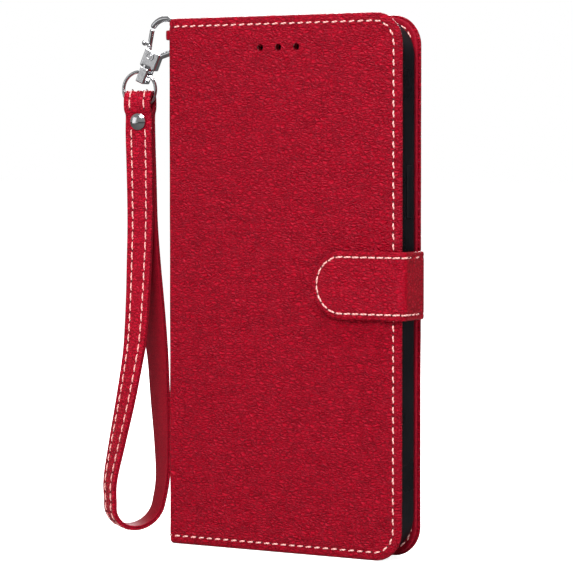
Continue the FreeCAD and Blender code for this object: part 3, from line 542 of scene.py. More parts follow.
def thread_material():
    material, tree, shader = new_material("pink_thread")
    where = node(tree, "ShaderNodeAttribute", attribute_name="ply", attribute_type="GEOMETRY")
    twist = node(tree, "ShaderNodeGroup", node_tree=THREAD_TWIST)
    tree.links.new(where.outputs["Vector"], twist.inputs["Vector"])
    soil = node(tree, "ShaderNodeTexNoise", {"Vector": object_vector(tree), "Scale": 700.0})
    shade = maths(tree, "MULTIPLY_ADD", twist.outputs["Tone"], 1.1)
    tree.links.new(maths(tree, "MULTIPLY", soil.outputs["Fac"], 0.35), shade.node.inputs[2])
    # Low tone gives dark red: painted shade in the grooves between plies, with random fibre and soil tone
    # mixed in.
    colour = ramp(tree, shade, [(0.10, (0.42, 0.09, 0.10)), (0.45, (0.74, 0.33, 0.30)),
                                (0.85, (0.88, 0.56, 0.50))])
    tree.links.new(colour, shader.inputs["Base Color"])
    shader.inputs["Roughness"].default_value = 0.6
    shader.inputs["Sheen Weight"].default_value = 0.25
    bump = node(tree, "ShaderNodeBump", {"Height": twist.outputs["Height"], "Distance": 0.00006})
    tree.links.new(bump.outputs[0], shader.inputs["Normal"])
    return material


pink_thread = thread_material()
# Needle holes are flat dark discs on the leather: painted shade where the holes are.
needle_hole_shade = dark_material("needle_hole_shade", (0.02, 0.001, 0.003), (0.07, 0.003, 0.008))


def geometry_group(name, inputs):
    group = bpy.data.node_groups.new(name, "GeometryNodeTree")
    group.interface.new_socket("Geometry", in_out="INPUT", socket_type="NodeSocketGeometry")
    for label, kind, default in inputs:
        socket = group.interface.new_socket(label, in_out="INPUT", socket_type=kind)
        if default is not None:
            socket.default_value = default
    group.interface.new_socket("Geometry", in_out="OUTPUT", socket_type="NodeSocketGeometry")
    return group, group.nodes.new("NodeGroupInput"), group.nodes.new("NodeGroupOutput")


def vector_of(tree, x=0.0, y=0.0, z=0.0):
    return node(tree, "ShaderNodeCombineXYZ", {0: x, 1: y, 2: z}).outputs[0]


def stitch_group():
    """A thread arch and a dark disc of painted shade at its needle hole on every point, turned to its
    "along" and "out" vectors.
    """
    g, gin, gout = geometry_group("stitch_row", [
        ("Stitch Length", "NodeSocketFloat", 0.0024), ("Thread Radius", "NodeSocketFloat", 0.0003),
        ("Arch Height", "NodeSocketFloat", 0.00042), ("Hole Offset", "NodeSocketFloat", 0.00155),
        ("Slant", "NodeSocketFloat", 0.06), ("Seed", "NodeSocketInt", 4),
        ("Thread", "NodeSocketMaterial", None), ("Hole Shade", "NodeSocketMaterial", None)])
    half = maths(g, "MULTIPLY", gin.outputs["Stitch Length"], 0.5)
    sink = maths(g, "MULTIPLY", gin.outputs["Thread Radius"], -0.9)
    arch = node(g, "GeometryNodeCurveQuadraticBezier",
                {"Resolution": 9, "Start": vector_of(g, maths(g, "MULTIPLY", half, -1.0), 0.0, sink),
                 "Middle": vector_of(g, 0.0, 0.0, gin.outputs["Arch Height"]),
                 "End": vector_of(g, half, 0.0, sink)})
    section = node(g, "GeometryNodeCurvePrimitiveCircle", {"Resolution": 9,
                                                           "Radius": gin.outputs["Thread Radius"]},
                   mode="RADIUS")
    tube = node(g, "GeometryNodeCurveToMesh", {"Curve": arch.outputs[0],
                                               "Profile Curve": section.outputs[0],
                                               "Fill Caps": True})
    place = node(g, "GeometryNodeInputPosition")
    marked = node(g, "GeometryNodeStoreNamedAttribute", {"Geometry": tube.outputs[0], "Name": "ply",
                                                         "Value": place.outputs[0]},
                  data_type="FLOAT_VECTOR", domain="POINT")
    threaded = node(g, "GeometryNodeSetMaterial", {"Geometry": marked.outputs[0],
                                                   "Material": gin.outputs["Thread"]})
    # Flat dark disc beside the stitch: painted shade for its needle hole.
    dot = node(g, "GeometryNodeMeshUVSphere", {"Segments": 10, "Rings": 6, "Radius": 0.00034})
    flat = node(g, "GeometryNodeTransform",
                {"Geometry": dot.outputs[0], "Translation": vector_of(g, gin.outputs["Hole Offset"]),
                 "Scale": (1.0, 0.9, 0.22)})
    hole_shade = node(g, "GeometryNodeSetMaterial", {"Geometry": flat.outputs[0],
                                                "Material": gin.outputs["Hole Shade"]})
    both = node(g, "GeometryNodeJoinGeometry")
    g.links.new(threaded.outputs[0], both.inputs[0])
    g.links.new(hole_shade.outputs[0], both.inputs[0])
    along = node(g, "GeometryNodeInputNamedAttribute", {"Name": "along"}, data_type="FLOAT_VECTOR")
    out = node(g, "GeometryNodeInputNamedAttribute", {"Name": "out"}, data_type="FLOAT_VECTOR")
    first = node(g, "FunctionNodeAlignRotationToVector", {"Vector": out.outputs[0]}, axis="Z")
    turned = node(g, "FunctionNodeAlignRotationToVector",
                  {"Rotation": first.outputs[0], "Vector": along.outputs[0]}, axis="X", pivot_axis="Z")
    rows = node(g, "GeometryNodeInstanceOnPoints", {"Points": gin.outputs["Geometry"],
                                                    "Instance": both.outputs[0],
                                                    "Rotation": turned.outputs[0]})
    spread = node(g, "FunctionNodeRandomValue", data_type="FLOAT")
    spread.inputs[2].default_value, spread.inputs[3].default_value = -0.05, 0.05
    g.links.new(gin.outputs["Seed"], spread.inputs["Seed"])
    slanted = maths(g, "ADD", spread.outputs[1], gin.outputs["Slant"])
    turn = node(g, "FunctionNodeAxisAngleToRotation", {"Axis": (0, 0, 1), "Angle": slanted})
    swung = node(g, "GeometryNodeRotateInstances", {"Instances": rows.outputs[0],
                                                    "Rotation": turn.outputs[0]})
    real = node(g, "GeometryNodeRealizeInstances", {"Geometry": swung.outputs[0]})
    soft = node(g, "GeometryNodeSetShadeSmooth", {"Geometry": real.outputs[0]})
    g.links.new(soft.outputs[0], gout.inputs[0])
    return g


STITCHES = stitch_group()


def resample(points, pitch, start=0.0, closed=False):
    """Points at even steps along a polyline, each with the line's direction there."""
    line = [Vector(p) for p in points] + ([Vector(points[0])] if closed else [])
    lengths = [0.0]
    for a, b in zip(line, line[1:]):
        lengths.append(lengths[-1] + (b - a).length)
    count = max(1, round((lengths[-1] - start) / pitch) - (0 if closed else 1))
    step = (lengths[-1] - start) / (count + (0 if closed else 1))
    out, k = [], 0
    for j in range(count):
        s = start + step * (j + 0.5)
        while k < len(lengths) - 2 and lengths[k + 1] < s:
            k += 1
        t = (s - lengths[k]) / (lengths[k + 1] - lengths[k])
        out.append((line[k].lerp(line[k + 1], t), (line[k + 1] - line[k]).normalized(), s))
    return out


def sew(name, rows, length=2.4, radius=0.3, slant=0.06, seed=4, arch=0.42):
    """One mesh of stitches from (position, along, out) rows in millimetres."""
    points = mesh_object(name + "_points", [p for p, *_ in rows], [],
                         {"along": [a for _, a, _ in rows], "out": [o for *_, o in rows]}, smooth=False)
    change = points.modifiers.new("stitches", "NODES")
    change.node_group = STITCHES
    values = {"Stitch Length": length * MM, "Thread Radius": radius * MM, "Arch Height": arch * MM,
              "Hole Offset": (length / 2 + 0.36) * MM, "Slant": slant, "Seed": seed,
              "Thread": pink_thread, "Hole Shade": needle_hole_shade}
    for item in STITCHES.interface.items_tree:
        if item.in_out == "INPUT" and item.name in values:
            change[item.identifier] = values[item.name]
    bpy.context.view_layer.update()
    evaluated = points.evaluated_get(bpy.context.evaluated_depsgraph_get())
    mesh = bpy.data.meshes.new_from_object(evaluated)
    bpy.data.objects.remove(points)
    sewn = link(bpy.data.objects.new(name, mesh))
    return sewn


def three_sides(x_start, x_end, z_low, z_high, inset, corner):
    """Line along the bottom, round the right edge and back along the top, in x and z."""
    r = corner - inset
    line = [(x_start, z_low + inset)]
    for cx, cz, start in ((x_end - corner, z_low + corner, 270), (x_end - corner, z_high - corner, 0)):
        line += [(cx + r * math.cos(math.radians(start + 7.5 * k)),
                  cz + r * math.sin(math.radians(start + 7.5 * k))) for k in range(13)]
    return line + [(x_start, z_high - inset)]


def flat_row(line, y, outward, pitch=3.1):
    return [(p, a, Vector((0, outward, 0)))
            for p, a, _ in resample([(x, y, z) for x, z in line], pitch)]


def path_row(route, line, depth, outward, pitch):
    """Stitch places along a line of (length, height) on a folded sheet, `depth` in from its face."""
    rows = []
    for p, a, _ in resample([(u, z, 0) for u, z in line], pitch):
        here = Vector((*route.place(p.x, depth), p.y))
        ahead = Vector((*route.place(p.x + a.x * 0.05, depth), p.y + a.y * 0.05))
        out = Vector((*route.place(p.x, depth - outward), p.y)) - here
        rows.append((here, (ahead - here).normalized(), out.normalized()))
    return rows


FRONT_RIGHT = LEFT + FRONT_W
START_U = REACH - 0.3
front_line = three_sides(START_U - 1.6, front_path.length, 0, HEIGHT, SEAM, CORNER)
front_seam = sew("front_cover_stitching",
                 path_row(front_path, front_line, 0.12, 1, 3.1)
                 + path_row(front_path,
                            three_sides(START_U + 3, front_path.length, 0, HEIGHT, SEAM, CORNER),
                            2.0, -1, 3.1), length=1.85, radius=0.26, slant=0.13)
rear_line = three_sides(START_U, rear_path.length, 0, REAR_HEIGHT, SEAM, CORNER)
rear_seam = sew("rear_cover_stitching",
                path_row(rear_path, rear_line, 0.12, 1, 3.1)
                + path_row(rear_path,
                           three_sides(START_U + 3, rear_path.length, 0, REAR_HEIGHT, SEAM, CORNER),
                           2.29, -1, 3.1), length=2.0, radius=0.26, slant=0.13, seed=9)
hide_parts("front_seam")
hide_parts("rear_seam_outside", "rear_seam_inside")
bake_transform(front_seam)
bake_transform(rear_seam)

# ---- Note and card pockets ---------------------------------------------------------------------
# Thin panels of the lining leather on the front cover's inside: a tall note pocket and three
# stepped card pockets, sewn on three sides and open towards the spine.

pocket_leather = leather("pocket_leather", (0.28, 0.004, 0.016), (0.13, 0.001, 0.006), grain=2.2,
                         depth=0.00005, rough=(0.46, 0.62))


def panel(name, x0, x1, z0, z1, y_face, thickness, corner):
    profile = [(1.6, 0.0), (1.2, 0.02), (0.9, 0.0), (0.4, 0.0), (0.15, 0.05), (0.02, 0.14),
               (0.0, thickness * 0.6), (0.08, thickness - 0.03), (0.5, thickness)]
    made = half_sheet(name, Mirrored(Path((x0, y_face), 0).line(x1 - x0)), z0, z1, corner, profile,
                      pocket_leather, spacing=3, rows=36)
    closing = bmesh.new()
    closing.from_mesh(made.data)
    bmesh.ops.holes_fill(closing, edges=[e for e in closing.edges if e.is_boundary])
    bmesh.ops.recalc_face_normals(closing, faces=closing.faces)
    closing.to_mesh(made.data)
    closing.free()
    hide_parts(name)
    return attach(made, "front_cover")


POCKET, POCKET_RIGHT = 0.4, FRONT_RIGHT - 3.0
FRONT_IN = FRONT + 2.1
panel("bill_pocket", LEFT + 14.0, POCKET_RIGHT, 3.0, 146.0, FRONT_IN + POCKET, POCKET, 4.0)
pocket_rows = flat_row(three_sides(LEFT + 16.0, POCKET_RIGHT, 3.0, 146.0, 1.2, 4.0),
                       FRONT_IN + POCKET - 0.03, 1, 2.6)
for k, label in enumerate(("card_pocket_back", "card_pocket_middle", "card_pocket_front")):
    mouth, face = LEFT + 33.0 + 9.0 * k, FRONT_IN + POCKET * (k + 2)
    panel(label, mouth, POCKET_RIGHT, 30.0, 122.0, face, POCKET, 0.7)
    pocket_rows += [(p, a, Vector((0, 1, 0))) for z in (31.2, 120.8) for p, a, _ in
                    resample([(mouth + 1.0, face - 0.03, z), (mouth + (8.6 if k < 2 else 29.5),
                                                              face - 0.03, z)], 2.6)]
pocket_rows += [(p, a, Vector((0, 1, 0))) for p, a, _ in
                resample([(POCKET_RIGHT - 1.2, FRONT_IN + POCKET * 4 - 0.03, 31.5),
                          (POCKET_RIGHT - 1.2, FRONT_IN + POCKET * 4 - 0.03, 120.5)], 2.6)]
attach(sew("pocket_stitching", pocket_rows, length=1.9, radius=0.19, seed=15, arch=0.2), "front_cover")

# ---- Closure strap -----------------------------------------------------------------------------
# Leather strap, lined and edge-stitched, that comes out of the rear cover's right edge, bends
# round the side and lies over the front with a rounded end. A magnet in the end holds it shut.

strap_leather = leather("strap_leather", RED, RED_CREASE_SHADE, calm=(0.0065, 0.0105), depth=0.00070)
STRAP_LOW, STRAP_HIGH = 73.5, 94.4
STRAP_EDGE = [(3.0, 0.0), (2.3, 0.01), (2.05, 0.09), (1.8, 0.12), (1.55, 0.09), (1.2, 0.01),
              (0.7, 0.03), (0.35, 0.13), (0.12, 0.32), (0.0, 0.55), (0.04, 0.72), (0.3, 0.79),
              (1.2, 0.78)]
STRAP_UNDER = [(3.0, 1.40), (1.2, 1.40), (0.55, 1.36), (0.3, 1.24), (0.2, 1.05), (0.26, 0.86),
               (0.6, 0.81), (1.2, 0.80)]
lean_dir = Vector((0.1177, -0.99305))
half_way = Vector((43.765, 0.25)) + lean_dir * 7.657
hinge_path = Path(half_way, 96.76).line(5.88).arc(2.0, 83.24).line(1.2)
tongue_path = Mirrored(Path(half_way, -83.24).line(5.88).arc(2.6, -96.76).line(30.0))
STRAP_FOLDS = (("rear_cover", "strap_side", (0.0417, 0.0012, 0), (0.0440, -0.0026, 0)),
               ("strap_side", "strap_tongue", (0.0455, -0.0122, 0), (0.0424, -0.0161, 0)))
for label, route, corner, sign, fold, nodes in (
        ("strap_side", hinge_path, 0.4, -1.0, STRAP_FOLDS[0],
         (("strap_side_leather",), ("strap_side_lining", "strap_root"))),
        ("strap_end", tongue_path, 10.3, 1.0, STRAP_FOLDS[1],
         (("strap_tongue_leather",), ("strap_tongue_lining",)))):
    for part, profile, finish, stands_for, slot in (
            ("outside", STRAP_EDGE, strap_leather, nodes[0], "red_leather"),
            ("inside", STRAP_UNDER, lining_leather, nodes[1], "red_lining")):
        layer = half_sheet(f"{label}_{part}", route, STRAP_LOW, STRAP_HIGH, corner, profile, finish,
                           spacing=1.0, rows=26, lay_sign=sign, bend_steps=14)
        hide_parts(*stands_for)
        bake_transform(layer)


def strap_row(route, u_from, rounded_end):
    """Stitch places along both edges of the strap, and round its end."""
    low, high = STRAP_LOW + 1.8, STRAP_HIGH - 1.8
    if rounded_end:
        end, r, corner = route.length, 8.5, 10.3
        line = [(u_from, low)]
        for cz, start in ((STRAP_LOW + corner, 270), (STRAP_HIGH - corner, 0)):
            line += [(end - corner + r * math.cos(math.radians(start + 7.5 * k)),
                      cz + r * math.sin(math.radians(start + 7.5 * k))) for k in range(13)]
        runs = [line + [(u_from, high)]]
    else:
        runs = [[(u_from, z), (route.length - 3.2, z)] for z in (low, high)]
    return [place for run in runs for place in path_row(route, run, 0.10, 1, 2.9)]


side_seam = sew("strap_side_stitching", strap_row(hinge_path, 0.0, False), length=2.3, radius=0.26, seed=21)
end_seam = sew("strap_end_stitching", strap_row(tongue_path, 0.0, True), length=2.35, radius=0.26, seed=22)
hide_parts("strap_tongue_seam")
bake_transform(side_seam)
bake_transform(end_seam)

# ---- Clasp keeper ------------------------------------------------------------------------------
# Narrow leather band arched over the spine near the top; the clasp hooks through it.


def swept_band(name, stations, outline, material, closed=False):
    """Skin through an outline of (across, outward) points carried along (centre, across, out) stations."""
    verts, faces, marks, run = [], [], [], 0.0
    for k, (centre, across, out) in enumerate(stations):
        if k:
            run += (centre - stations[k - 1][0]).length
        for a, b in outline:
            verts.append(tuple(centre + across * a + out * b))
            marks.append((a * MM, run * MM, b * MM))
    n, count = len(outline), len(stations)
    for k in range(count if closed else count - 1):
        j = (k + 1) % count
        faces += [(k * n + i, k * n + (i + 1) % n, j * n + (i + 1) % n, j * n + i) for i in range(n)]
    if not closed:
        faces += [tuple(range(n)), tuple(range(count * n - 1, (count - 1) * n - 1, -1))]
    made = mesh_object(name, verts, faces, {"lay": marks}, material)
    face_outward(made)
    return made


def strip_outline(half, low, high, soft, dips=(), steps=26):
    """Cross-section of a leather strip with softened edges and pressed stitch channels."""
    top = []
    for k in range(steps + 1):
        a = -half + soft + (2 * half - 2 * soft) * k / steps
        dip = sum(0.11 * math.exp(-((a - d) / 0.33) ** 2) for d in dips)
        crown = 0.05 * (1 - (a / half) ** 2)
        top.append((a, high - dip + crown - 0.05))
    def corner(side, face, start):
        return [(side * (half - soft) + side * soft * math.sin(math.radians(start * k / 4)),
                 face[0] + face[1] * soft * (1 - math.cos(math.radians(start * k / 4))))
                for k in range(1, 5)]
    right_top = corner(1, (high - 0.05, -1), 90)
    right_low = corner(1, (low, 1), 90)[::-1]
    left_low = corner(-1, (low, 1), 90)
    left_top = corner(-1, (high - 0.05, -1), 90)[::-1]
    return top + right_top + right_low + [(half - soft, low), (-half + soft, low)] + left_low + left_top


keeper_leather = leather("keeper_leather", RED, RED_CREASE_SHADE, grain=1.2, depth=0.00010)
SPINE_MIDDLE = (-12.0 - 1.5) / 2
stations = []
for k in range(41):
    a = math.radians(90 + 180 * k / 40)
    out = Vector((math.cos(a), math.sin(a), 0))
    stations.append((Vector((LEFT, SPINE_MIDDLE, 162.0)) + out * 4.15, Vector((0, 0, 1)), out))
keeper = swept_band("clasp_keeper", stations, strip_outline(1.5, 0.0, 1.0, 0.3), keeper_leather)
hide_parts("lanyard_keeper")
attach(keeper, "spine")

# ---- Wrist strap -------------------------------------------------------------------------------
# A closed band of leather lined with leather, folded over the ring and riveted under it, with
# two rows of thread stitching. Its limbs twist and part, so the loop opens at the bottom.

strap_red = leather("wrist_leather", (0.41, 0.003, 0.018), RED_CREASE_SHADE, grain=1.05, depth=0.00040)
LIMB = [  # height, half the distance between limbs, twist in degrees, shift from the spine
    (141.7, 1.95, 10.0, -16.9), (138.7, 1.85, 10.0, -16.9), (137.2, 0.92, 10.0, -16.8),
    (131.5, 0.90, 10.0, -16.8), (115.0, 1.00, 7.0, -16.3), (102.1, 1.30, 4.0, -16.0),
    (89.2, 2.40, 0.0, -15.6), (76.3, 3.60, -5.0, -15.1), (63.3, 4.80, -10.0, -14.9),
    (56.9, 5.50, -14.0, -15.1), (44.0, 6.95, -19.0, -16.1), (31.0, 8.30, -26.0, -17.3),
    (18.1, 9.10, -33.0, -18.7), (11.7, 8.40, -35.0, -19.3)]
FOLD_RISE, BEND_DROP, BAND_MIDDLE = 2.2, 8.6, -6.30


def band_stations():
    """Smooth closed line of the band, with the direction across it and the outward one."""
    rows = []
    z, s, twist, x = LIMB[0]
    for a in (math.pi * k / 5 for k in range(1, 5)):
        rows.append((z + FOLD_RISE * math.sin(a), -s * math.cos(a), twist, x))
    rows += LIMB
    z, s, twist, x = LIMB[-1]
    for a in (math.pi * k / 9 for k in range(1, 9)):
        low = math.sin(a)
        rows.append((z - BEND_DROP * low, s * math.cos(a), twist - 2.0 * low, x - 1.2 * low))
    rows += [(z, -s, twist, x) for z, s, twist, x in reversed(LIMB)]
    controls = np.array([(z, s, math.radians(t), x) for z, s, t, x in rows])
    smooth, n = [], len(controls)
    for k in range(n):
        p0, p1, p2, p3 = (controls[(k + j) % n] for j in (-1, 0, 1, 2))
        gap = abs(p2[0] - p1[0]) + abs(p2[1] - p1[1])
        steps = max(3, int(gap / 0.9))
        k0, k1 = (max(math.sqrt(np.hypot(*(b - a)[:2])), 0.3) for a, b in ((p0, p1), (p2, p3)))
        km = max(math.sqrt(np.hypot(*(p2 - p1)[:2])), 0.3)
        m1 = (p2 - p1) + km * ((p1 - p0) / k0 - (p2 - p0) / (k0 + km))
        m2 = (p2 - p1) + km * ((p3 - p2) / k1 - (p3 - p1) / (km + k1))
        for j in range(steps):
            t = j / steps
            smooth.append((2 * t**3 - 3 * t**2 + 1) * p1 + (t**3 - 2 * t**2 + t) * m1
                          + (-2 * t**3 + 3 * t**2) * p2 + (t**3 - t**2) * m2)
    points, across = [], []
    for z, s, t, x in smooth:
        points.append(Vector((LEFT + x + s * math.sin(t), BAND_MIDDLE - s * math.cos(t), z)))
        across.append(Vector((math.cos(t), math.sin(t), 0)))
    out = []
    for k, (p, w) in enumerate(zip(points, across)):
        tangent = (points[(k + 1) % len(points)] - points[k - 1]).normalized()
        w = (w - tangent * w.dot(tangent)).normalized()
        out.append((p, w, tangent.cross(w)))
    return out


band = band_stations()
HALF_BAND = 4.65
wrist_outside = swept_band("wrist_strap_outside", band,
                           strip_outline(HALF_BAND, 0.0, 0.83, 0.28, dips=(-2.5, 2.5)), strap_red, True)
wrist_inside = swept_band("wrist_strap_inside", band,
                          strip_outline(HALF_BAND - 0.05, -0.70, -0.01, 0.2), lining_leather, True)
RIVET = Vector((LEFT - 16.8, BAND_MIDDLE, 134.6))
band_rows = []
for offset in (-2.5, 2.5):
    centres = [p + w * offset + n * 0.72 for p, w, n in band]
    for p, a, s in resample(centres, 3.3, closed=True):
        nearest = min(range(len(band)), key=lambda k: (centres[k] - p).length)
        flat_gap = Vector((p.x - RIVET.x, 0, p.z - RIVET.z)).length
        if flat_gap > 4.0:
            band_rows.append((p, a, band[nearest][2]))
wrist_seam = sew("wrist_strap_stitching", band_rows, length=2.5, radius=0.24, seed=31)
for made, stands_for, slot in ((wrist_outside, ("wrist_strap_leather",), "red_leather"),
                               (wrist_inside, ("wrist_strap_lining",), "red_lining"),
                               (wrist_seam, ("wrist_strap_seam_left", "wrist_strap_seam_right"), "thread")):
    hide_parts(*stands_for)
    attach(made, "wrist_strap")

# ---- Clasp, swivel, ring and rivet -------------------------------------------------------------
# Cast and plated zinc, polished bright, turned and pinned together; the ring is plated wire and
# the rivet a pressed cap. The gate's spring and the magnets are plain steel.


def wear_group():
    """Fine random hairlines and soft smudges for polished and brushed metal."""
    g, gin, gout = new_group("metal_wear", [("Vector", "NodeSocketVector", None)],
                             [("Scratch", "NodeSocketFloat"), ("Smudge", "NodeSocketFloat")])
    stretched = node(g, "ShaderNodeVectorMath", {0: gin.outputs["Vector"], 1: (9000.0, 1500.0, 700.0)},
                     operation="MULTIPLY")
    lines = node(g, "ShaderNodeTexNoise", {"Vector": stretched.outputs[0], "Scale": 1.0, "Detail": 3.0})
    g.links.new(ramp(g, lines.outputs["Fac"], [(0.56, grey(0)), (0.74, grey(1))]), gout.inputs["Scratch"])
    smudge = node(g, "ShaderNodeTexNoise", {"Vector": gin.outputs["Vector"], "Scale": 420.0,
                                            "Detail": 4.0, "Distortion": 0.6})
    g.links.new(smudge.outputs["Fac"], gout.inputs["Smudge"])
    return g


METAL_WEAR = wear_group()


def metal(name, colour, rough):
    material, tree, shader = new_material(name)
    wear = node(tree, "ShaderNodeGroup", node_tree=METAL_WEAR)
    tree.links.new(object_vector(tree), wear.inputs["Vector"])
    shader.inputs["Metallic"].default_value = 1.0
    tint = ramp(tree, wear.outputs["Smudge"], [(0.3, tuple(c * 0.9 for c in colour)), (0.7, colour)])
    tree.links.new(tint, shader.inputs["Base Color"])
    spread = node(tree, "ShaderNodeMapRange", {"Value": wear.outputs["Smudge"], "From Min": 0.35,
                                               "From Max": 0.7, "To Min": rough, "To Max": rough * 2.2})
    tree.links.new(maths(tree, "ADD", spread.outputs[0],
                         maths(tree, "MULTIPLY", wear.outputs["Scratch"], 0.10)),
                   shader.inputs["Roughness"])
    bump = node(tree, "ShaderNodeBump", {"Height": wear.outputs["Scratch"], "Distance": 0.000004,
                                         "Strength": 0.5})
    tree.links.new(bump.outputs[0], shader.inputs["Normal"])
    return material


def finish_node(name, material):
    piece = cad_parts[name]
    piece.data.materials.clear()
    piece.data.materials.append(material)


chrome = metal("polished_plate", (0.80, 0.80, 0.82), 0.06)
spring_steel = metal("spring_steel", (0.55, 0.56, 0.58), 0.22)
for name in ("clasp_body", "clasp_pin", "clasp_gate", "swivel_eye", "key_ring", "strap_rivet"):
    finish_node(name, chrome)
for name in ("gate_spring", "front_magnet", "strap_magnet"):
    finish_node(name, spring_steel)

# ---- Phone holder and stiffening boards --------------------------------------------------------
# The holder is one moulding in satin black, with separate button pads of the same plastic. The
# boards inside the covers are grey pressed fibre, seen only at the openings.


def plastic_material():
    material, tree, shader = new_material("satin_black")
    where = object_vector(tree)
    spark = node(tree, "ShaderNodeTexNoise", {"Vector": where, "Scale": 5200.0, "Detail": 2.0})
    wipe = node(tree, "ShaderNodeTexNoise", {"Vector": where, "Scale": 55.0, "Detail": 3.0})
    tree.links.new(ramp(tree, wipe.outputs["Fac"], [(0.3, (0.004, 0.004, 0.005)),
                                                    (0.7, (0.009, 0.008, 0.010))]),
                   shader.inputs["Base Color"])
    rough = node(tree, "ShaderNodeMapRange", {"Value": wipe.outputs["Fac"], "From Min": 0.3,
                                              "From Max": 0.7, "To Min": 0.24, "To Max": 0.34})
    tree.links.new(rough.outputs[0], shader.inputs["Roughness"])
    shader.inputs["Specular IOR Level"].default_value = 0.12
    bump = node(tree, "ShaderNodeBump", {"Height": spark.outputs["Fac"], "Distance": 0.000012,
                                         "Strength": 0.7})
    tree.links.new(bump.outputs[0], shader.inputs["Normal"])
    return material


def board_material():
    material, tree, shader = new_material("fibre_board")
    where = object_vector(tree)
    fibres = node(tree, "ShaderNodeTexNoise", {"Vector": where, "Scale": 1800.0, "Detail": 5.0})
    tree.links.new(ramp(tree, fibres.outputs["Fac"], [(0.35, (0.16, 0.14, 0.12)),
                                                      (0.65, (0.34, 0.31, 0.27))]),
                   shader.inputs["Base Color"])
    shader.inputs["Roughness"].default_value = 0.9
    bump = node(tree, "ShaderNodeBump", {"Height": fibres.outputs["Fac"], "Distance": 0.00004})
    tree.links.new(bump.outputs[0], shader.inputs["Normal"])
    return material


satin_black, fibre_board = plastic_material(), board_material()
for name in ("holder_shell", "power_button", "volume_up_button", "volume_down_button", "action_button"):
    finish_node(name, satin_black)
for name in ("rear_board", "front_board"):
    finish_node(name, fibre_board)

# ---- Floor, light and camera -------------------------------------------------------------------
# White floor and world, which the camera sees brighter than the case does, four lamps, and three
# cards that only show in reflections. Positions are in mm, and MM turns them into metres.


def stage_material(name, colour, rough):
    material, tree, shader = new_material(name)
    shader.inputs["Base Color"].default_value = (*colour, 1)
    shader.inputs["Roughness"].default_value = rough
    return material


def card(name, centre, toward, width, height, material):
    bpy.ops.mesh.primitive_plane_add(size=1.0, location=Vector(centre) * MM)
    made = bpy.context.object
    made.name = name
    made.scale = (width * MM, height * MM, 1)
    made.rotation_euler = (Vector(toward) - Vector(centre)).to_track_quat("Z", "Y").to_euler()
    made.data.materials.append(material)
    return made


paper = stage_material("paper", (0.86, 0.86, 0.86), 0.9)
paper_tree = paper.node_tree
to_lens = node(paper_tree, "ShaderNodeLightPath").outputs["Is Camera Ray"]
glow = node(paper_tree, "ShaderNodeMapRange", {"Value": to_lens, "To Min": 0.03, "To Max": 0.84})
surface = paper_tree.nodes["Principled BSDF"]
mirrored = node(paper_tree, "ShaderNodeLightPath").outputs["Is Glossy Ray"]
shade = node(paper_tree, "ShaderNodeMapRange", {"Value": mirrored, "To Min": 0.86, "To Max": 0.03})
paper_tree.links.new(shade.outputs[0], surface.inputs["Base Color"])
surface.inputs["Emission Color"].default_value = (1, 1, 1, 1)
paper_tree.links.new(glow.outputs[0], surface.inputs["Emission Strength"])
FLOOR_SIZE = 30000
floor = card("floor", (0, 0, -0.1), (0, 0, 100), FLOOR_SIZE, FLOOR_SIZE, paper)
dark = stage_material("dark_card", (0.015, 0.015, 0.017), 0.8)
bright = stage_material("bright_card", (0.5, 0.5, 0.5), 0.9)
bright_tree = bright.node_tree
across = node(bright_tree, "ShaderNodeSeparateXYZ", {0: object_vector(bright_tree)})
bands = maths(bright_tree, "ADD", across.outputs["X"], maths(bright_tree, "MULTIPLY",
                                                                  across.outputs["Y"], 0.6))
bright_tree.links.new(
    ramp(bright_tree, maths(bright_tree, "ADD", bands, 0.5),
         [(0.0, grey(0.10)), (0.22, grey(0.30)), (0.36, grey(0.75)), (0.50, grey(0.85)), (0.60, grey(0.42)),
          (0.72, grey(0.50)), (0.84, grey(0.85)), (1.0, grey(0.5))]),
    bright_tree.nodes["Principled BSDF"].inputs["Emission Color"])
bright_tree.nodes["Principled BSDF"].inputs["Emission Strength"].default_value = 1.0
CARDS_FACE = (-50, 0, 140)              # the clasp and ring
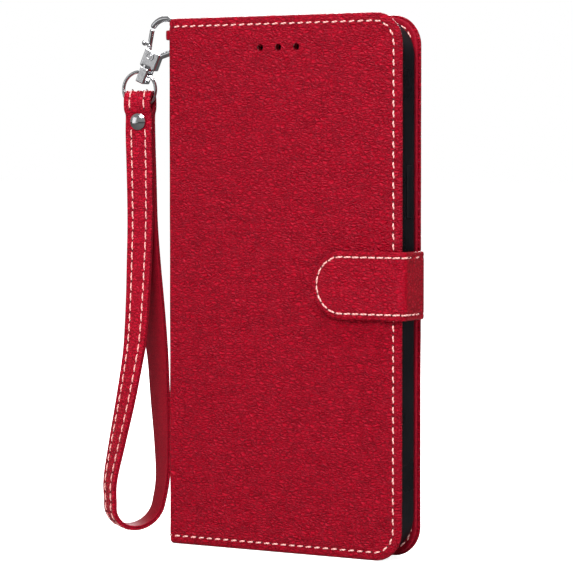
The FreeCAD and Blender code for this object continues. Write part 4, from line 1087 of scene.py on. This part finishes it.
cards = [card("bright_card_front", (-760, -1050, 200), CARDS_FACE, 620, 900, bright),
         card("dark_card_right", (620, 900, 150), CARDS_FACE, 620, 700, dark),
         card("dark_card_left", (-600, 60, 160), CARDS_FACE, 260, 500, dark)]
for made in cards:
    made.visible_camera = False


def lamp(name, centre, toward, power, width, height):
    data = bpy.data.lights.new(name, "AREA")
    data.shape, data.size, data.size_y, data.energy = "RECTANGLE", width * MM, height * MM, power
    made = link(bpy.data.objects.new(name, data))
    made.location = Vector(centre) * MM
    made.rotation_euler = (Vector(toward) - Vector(centre)).to_track_quat("-Z", "Y").to_euler()
    return made


lamps = [lamp("key_light", (180, -760, 760), (0, 0, 90), 12.9, 460, 360),
         lamp("side_light", (820, -260, 300), (30, 0, 90), 2.1, 70, 560),
         lamp("top_light", (40, -120, 700), (0, 0, 100), 3.0, 420, 300),
         lamp("back_light", (-420, 820, 480), (0, 0, 80), 8.0, 500, 300)]
world = bpy.data.worlds.new("studio")
world.use_nodes = True
sky = world.node_tree
seen = node(sky, "ShaderNodeMapRange", {"Value": node(sky, "ShaderNodeLightPath").outputs["Is Camera Ray"],
                                        "To Min": 0.24, "To Max": 1.0})
sky.nodes["Background"].inputs["Color"].default_value = (1.0, 1.0, 1.0, 1)
sky.links.new(seen.outputs[0], sky.nodes["Background"].inputs["Strength"])
bpy.context.scene.world = world
bpy.context.scene.view_settings.view_transform = "Standard"

camera = link(bpy.data.objects.new("camera", bpy.data.cameras.new("camera")))
AZIMUTH, DOWN = 0.5738, 0.0426          # radians, to the side and downward
CAMERA_AT = (485.1, -761.05, 120.97)
LENS, SENSOR = 180.47, 36.0             # mm
forward = Vector((-math.sin(AZIMUTH) * math.cos(DOWN), math.cos(AZIMUTH) * math.cos(DOWN), -math.sin(DOWN)))
camera.location = Vector(CAMERA_AT) * MM
camera.rotation_euler = forward.to_track_quat("-Z", "Y").to_euler()
camera.data.lens, camera.data.sensor_width = LENS, SENSOR
camera.data.clip_start, camera.data.clip_end = 0.01, 100.0
bpy.context.scene.camera = camera
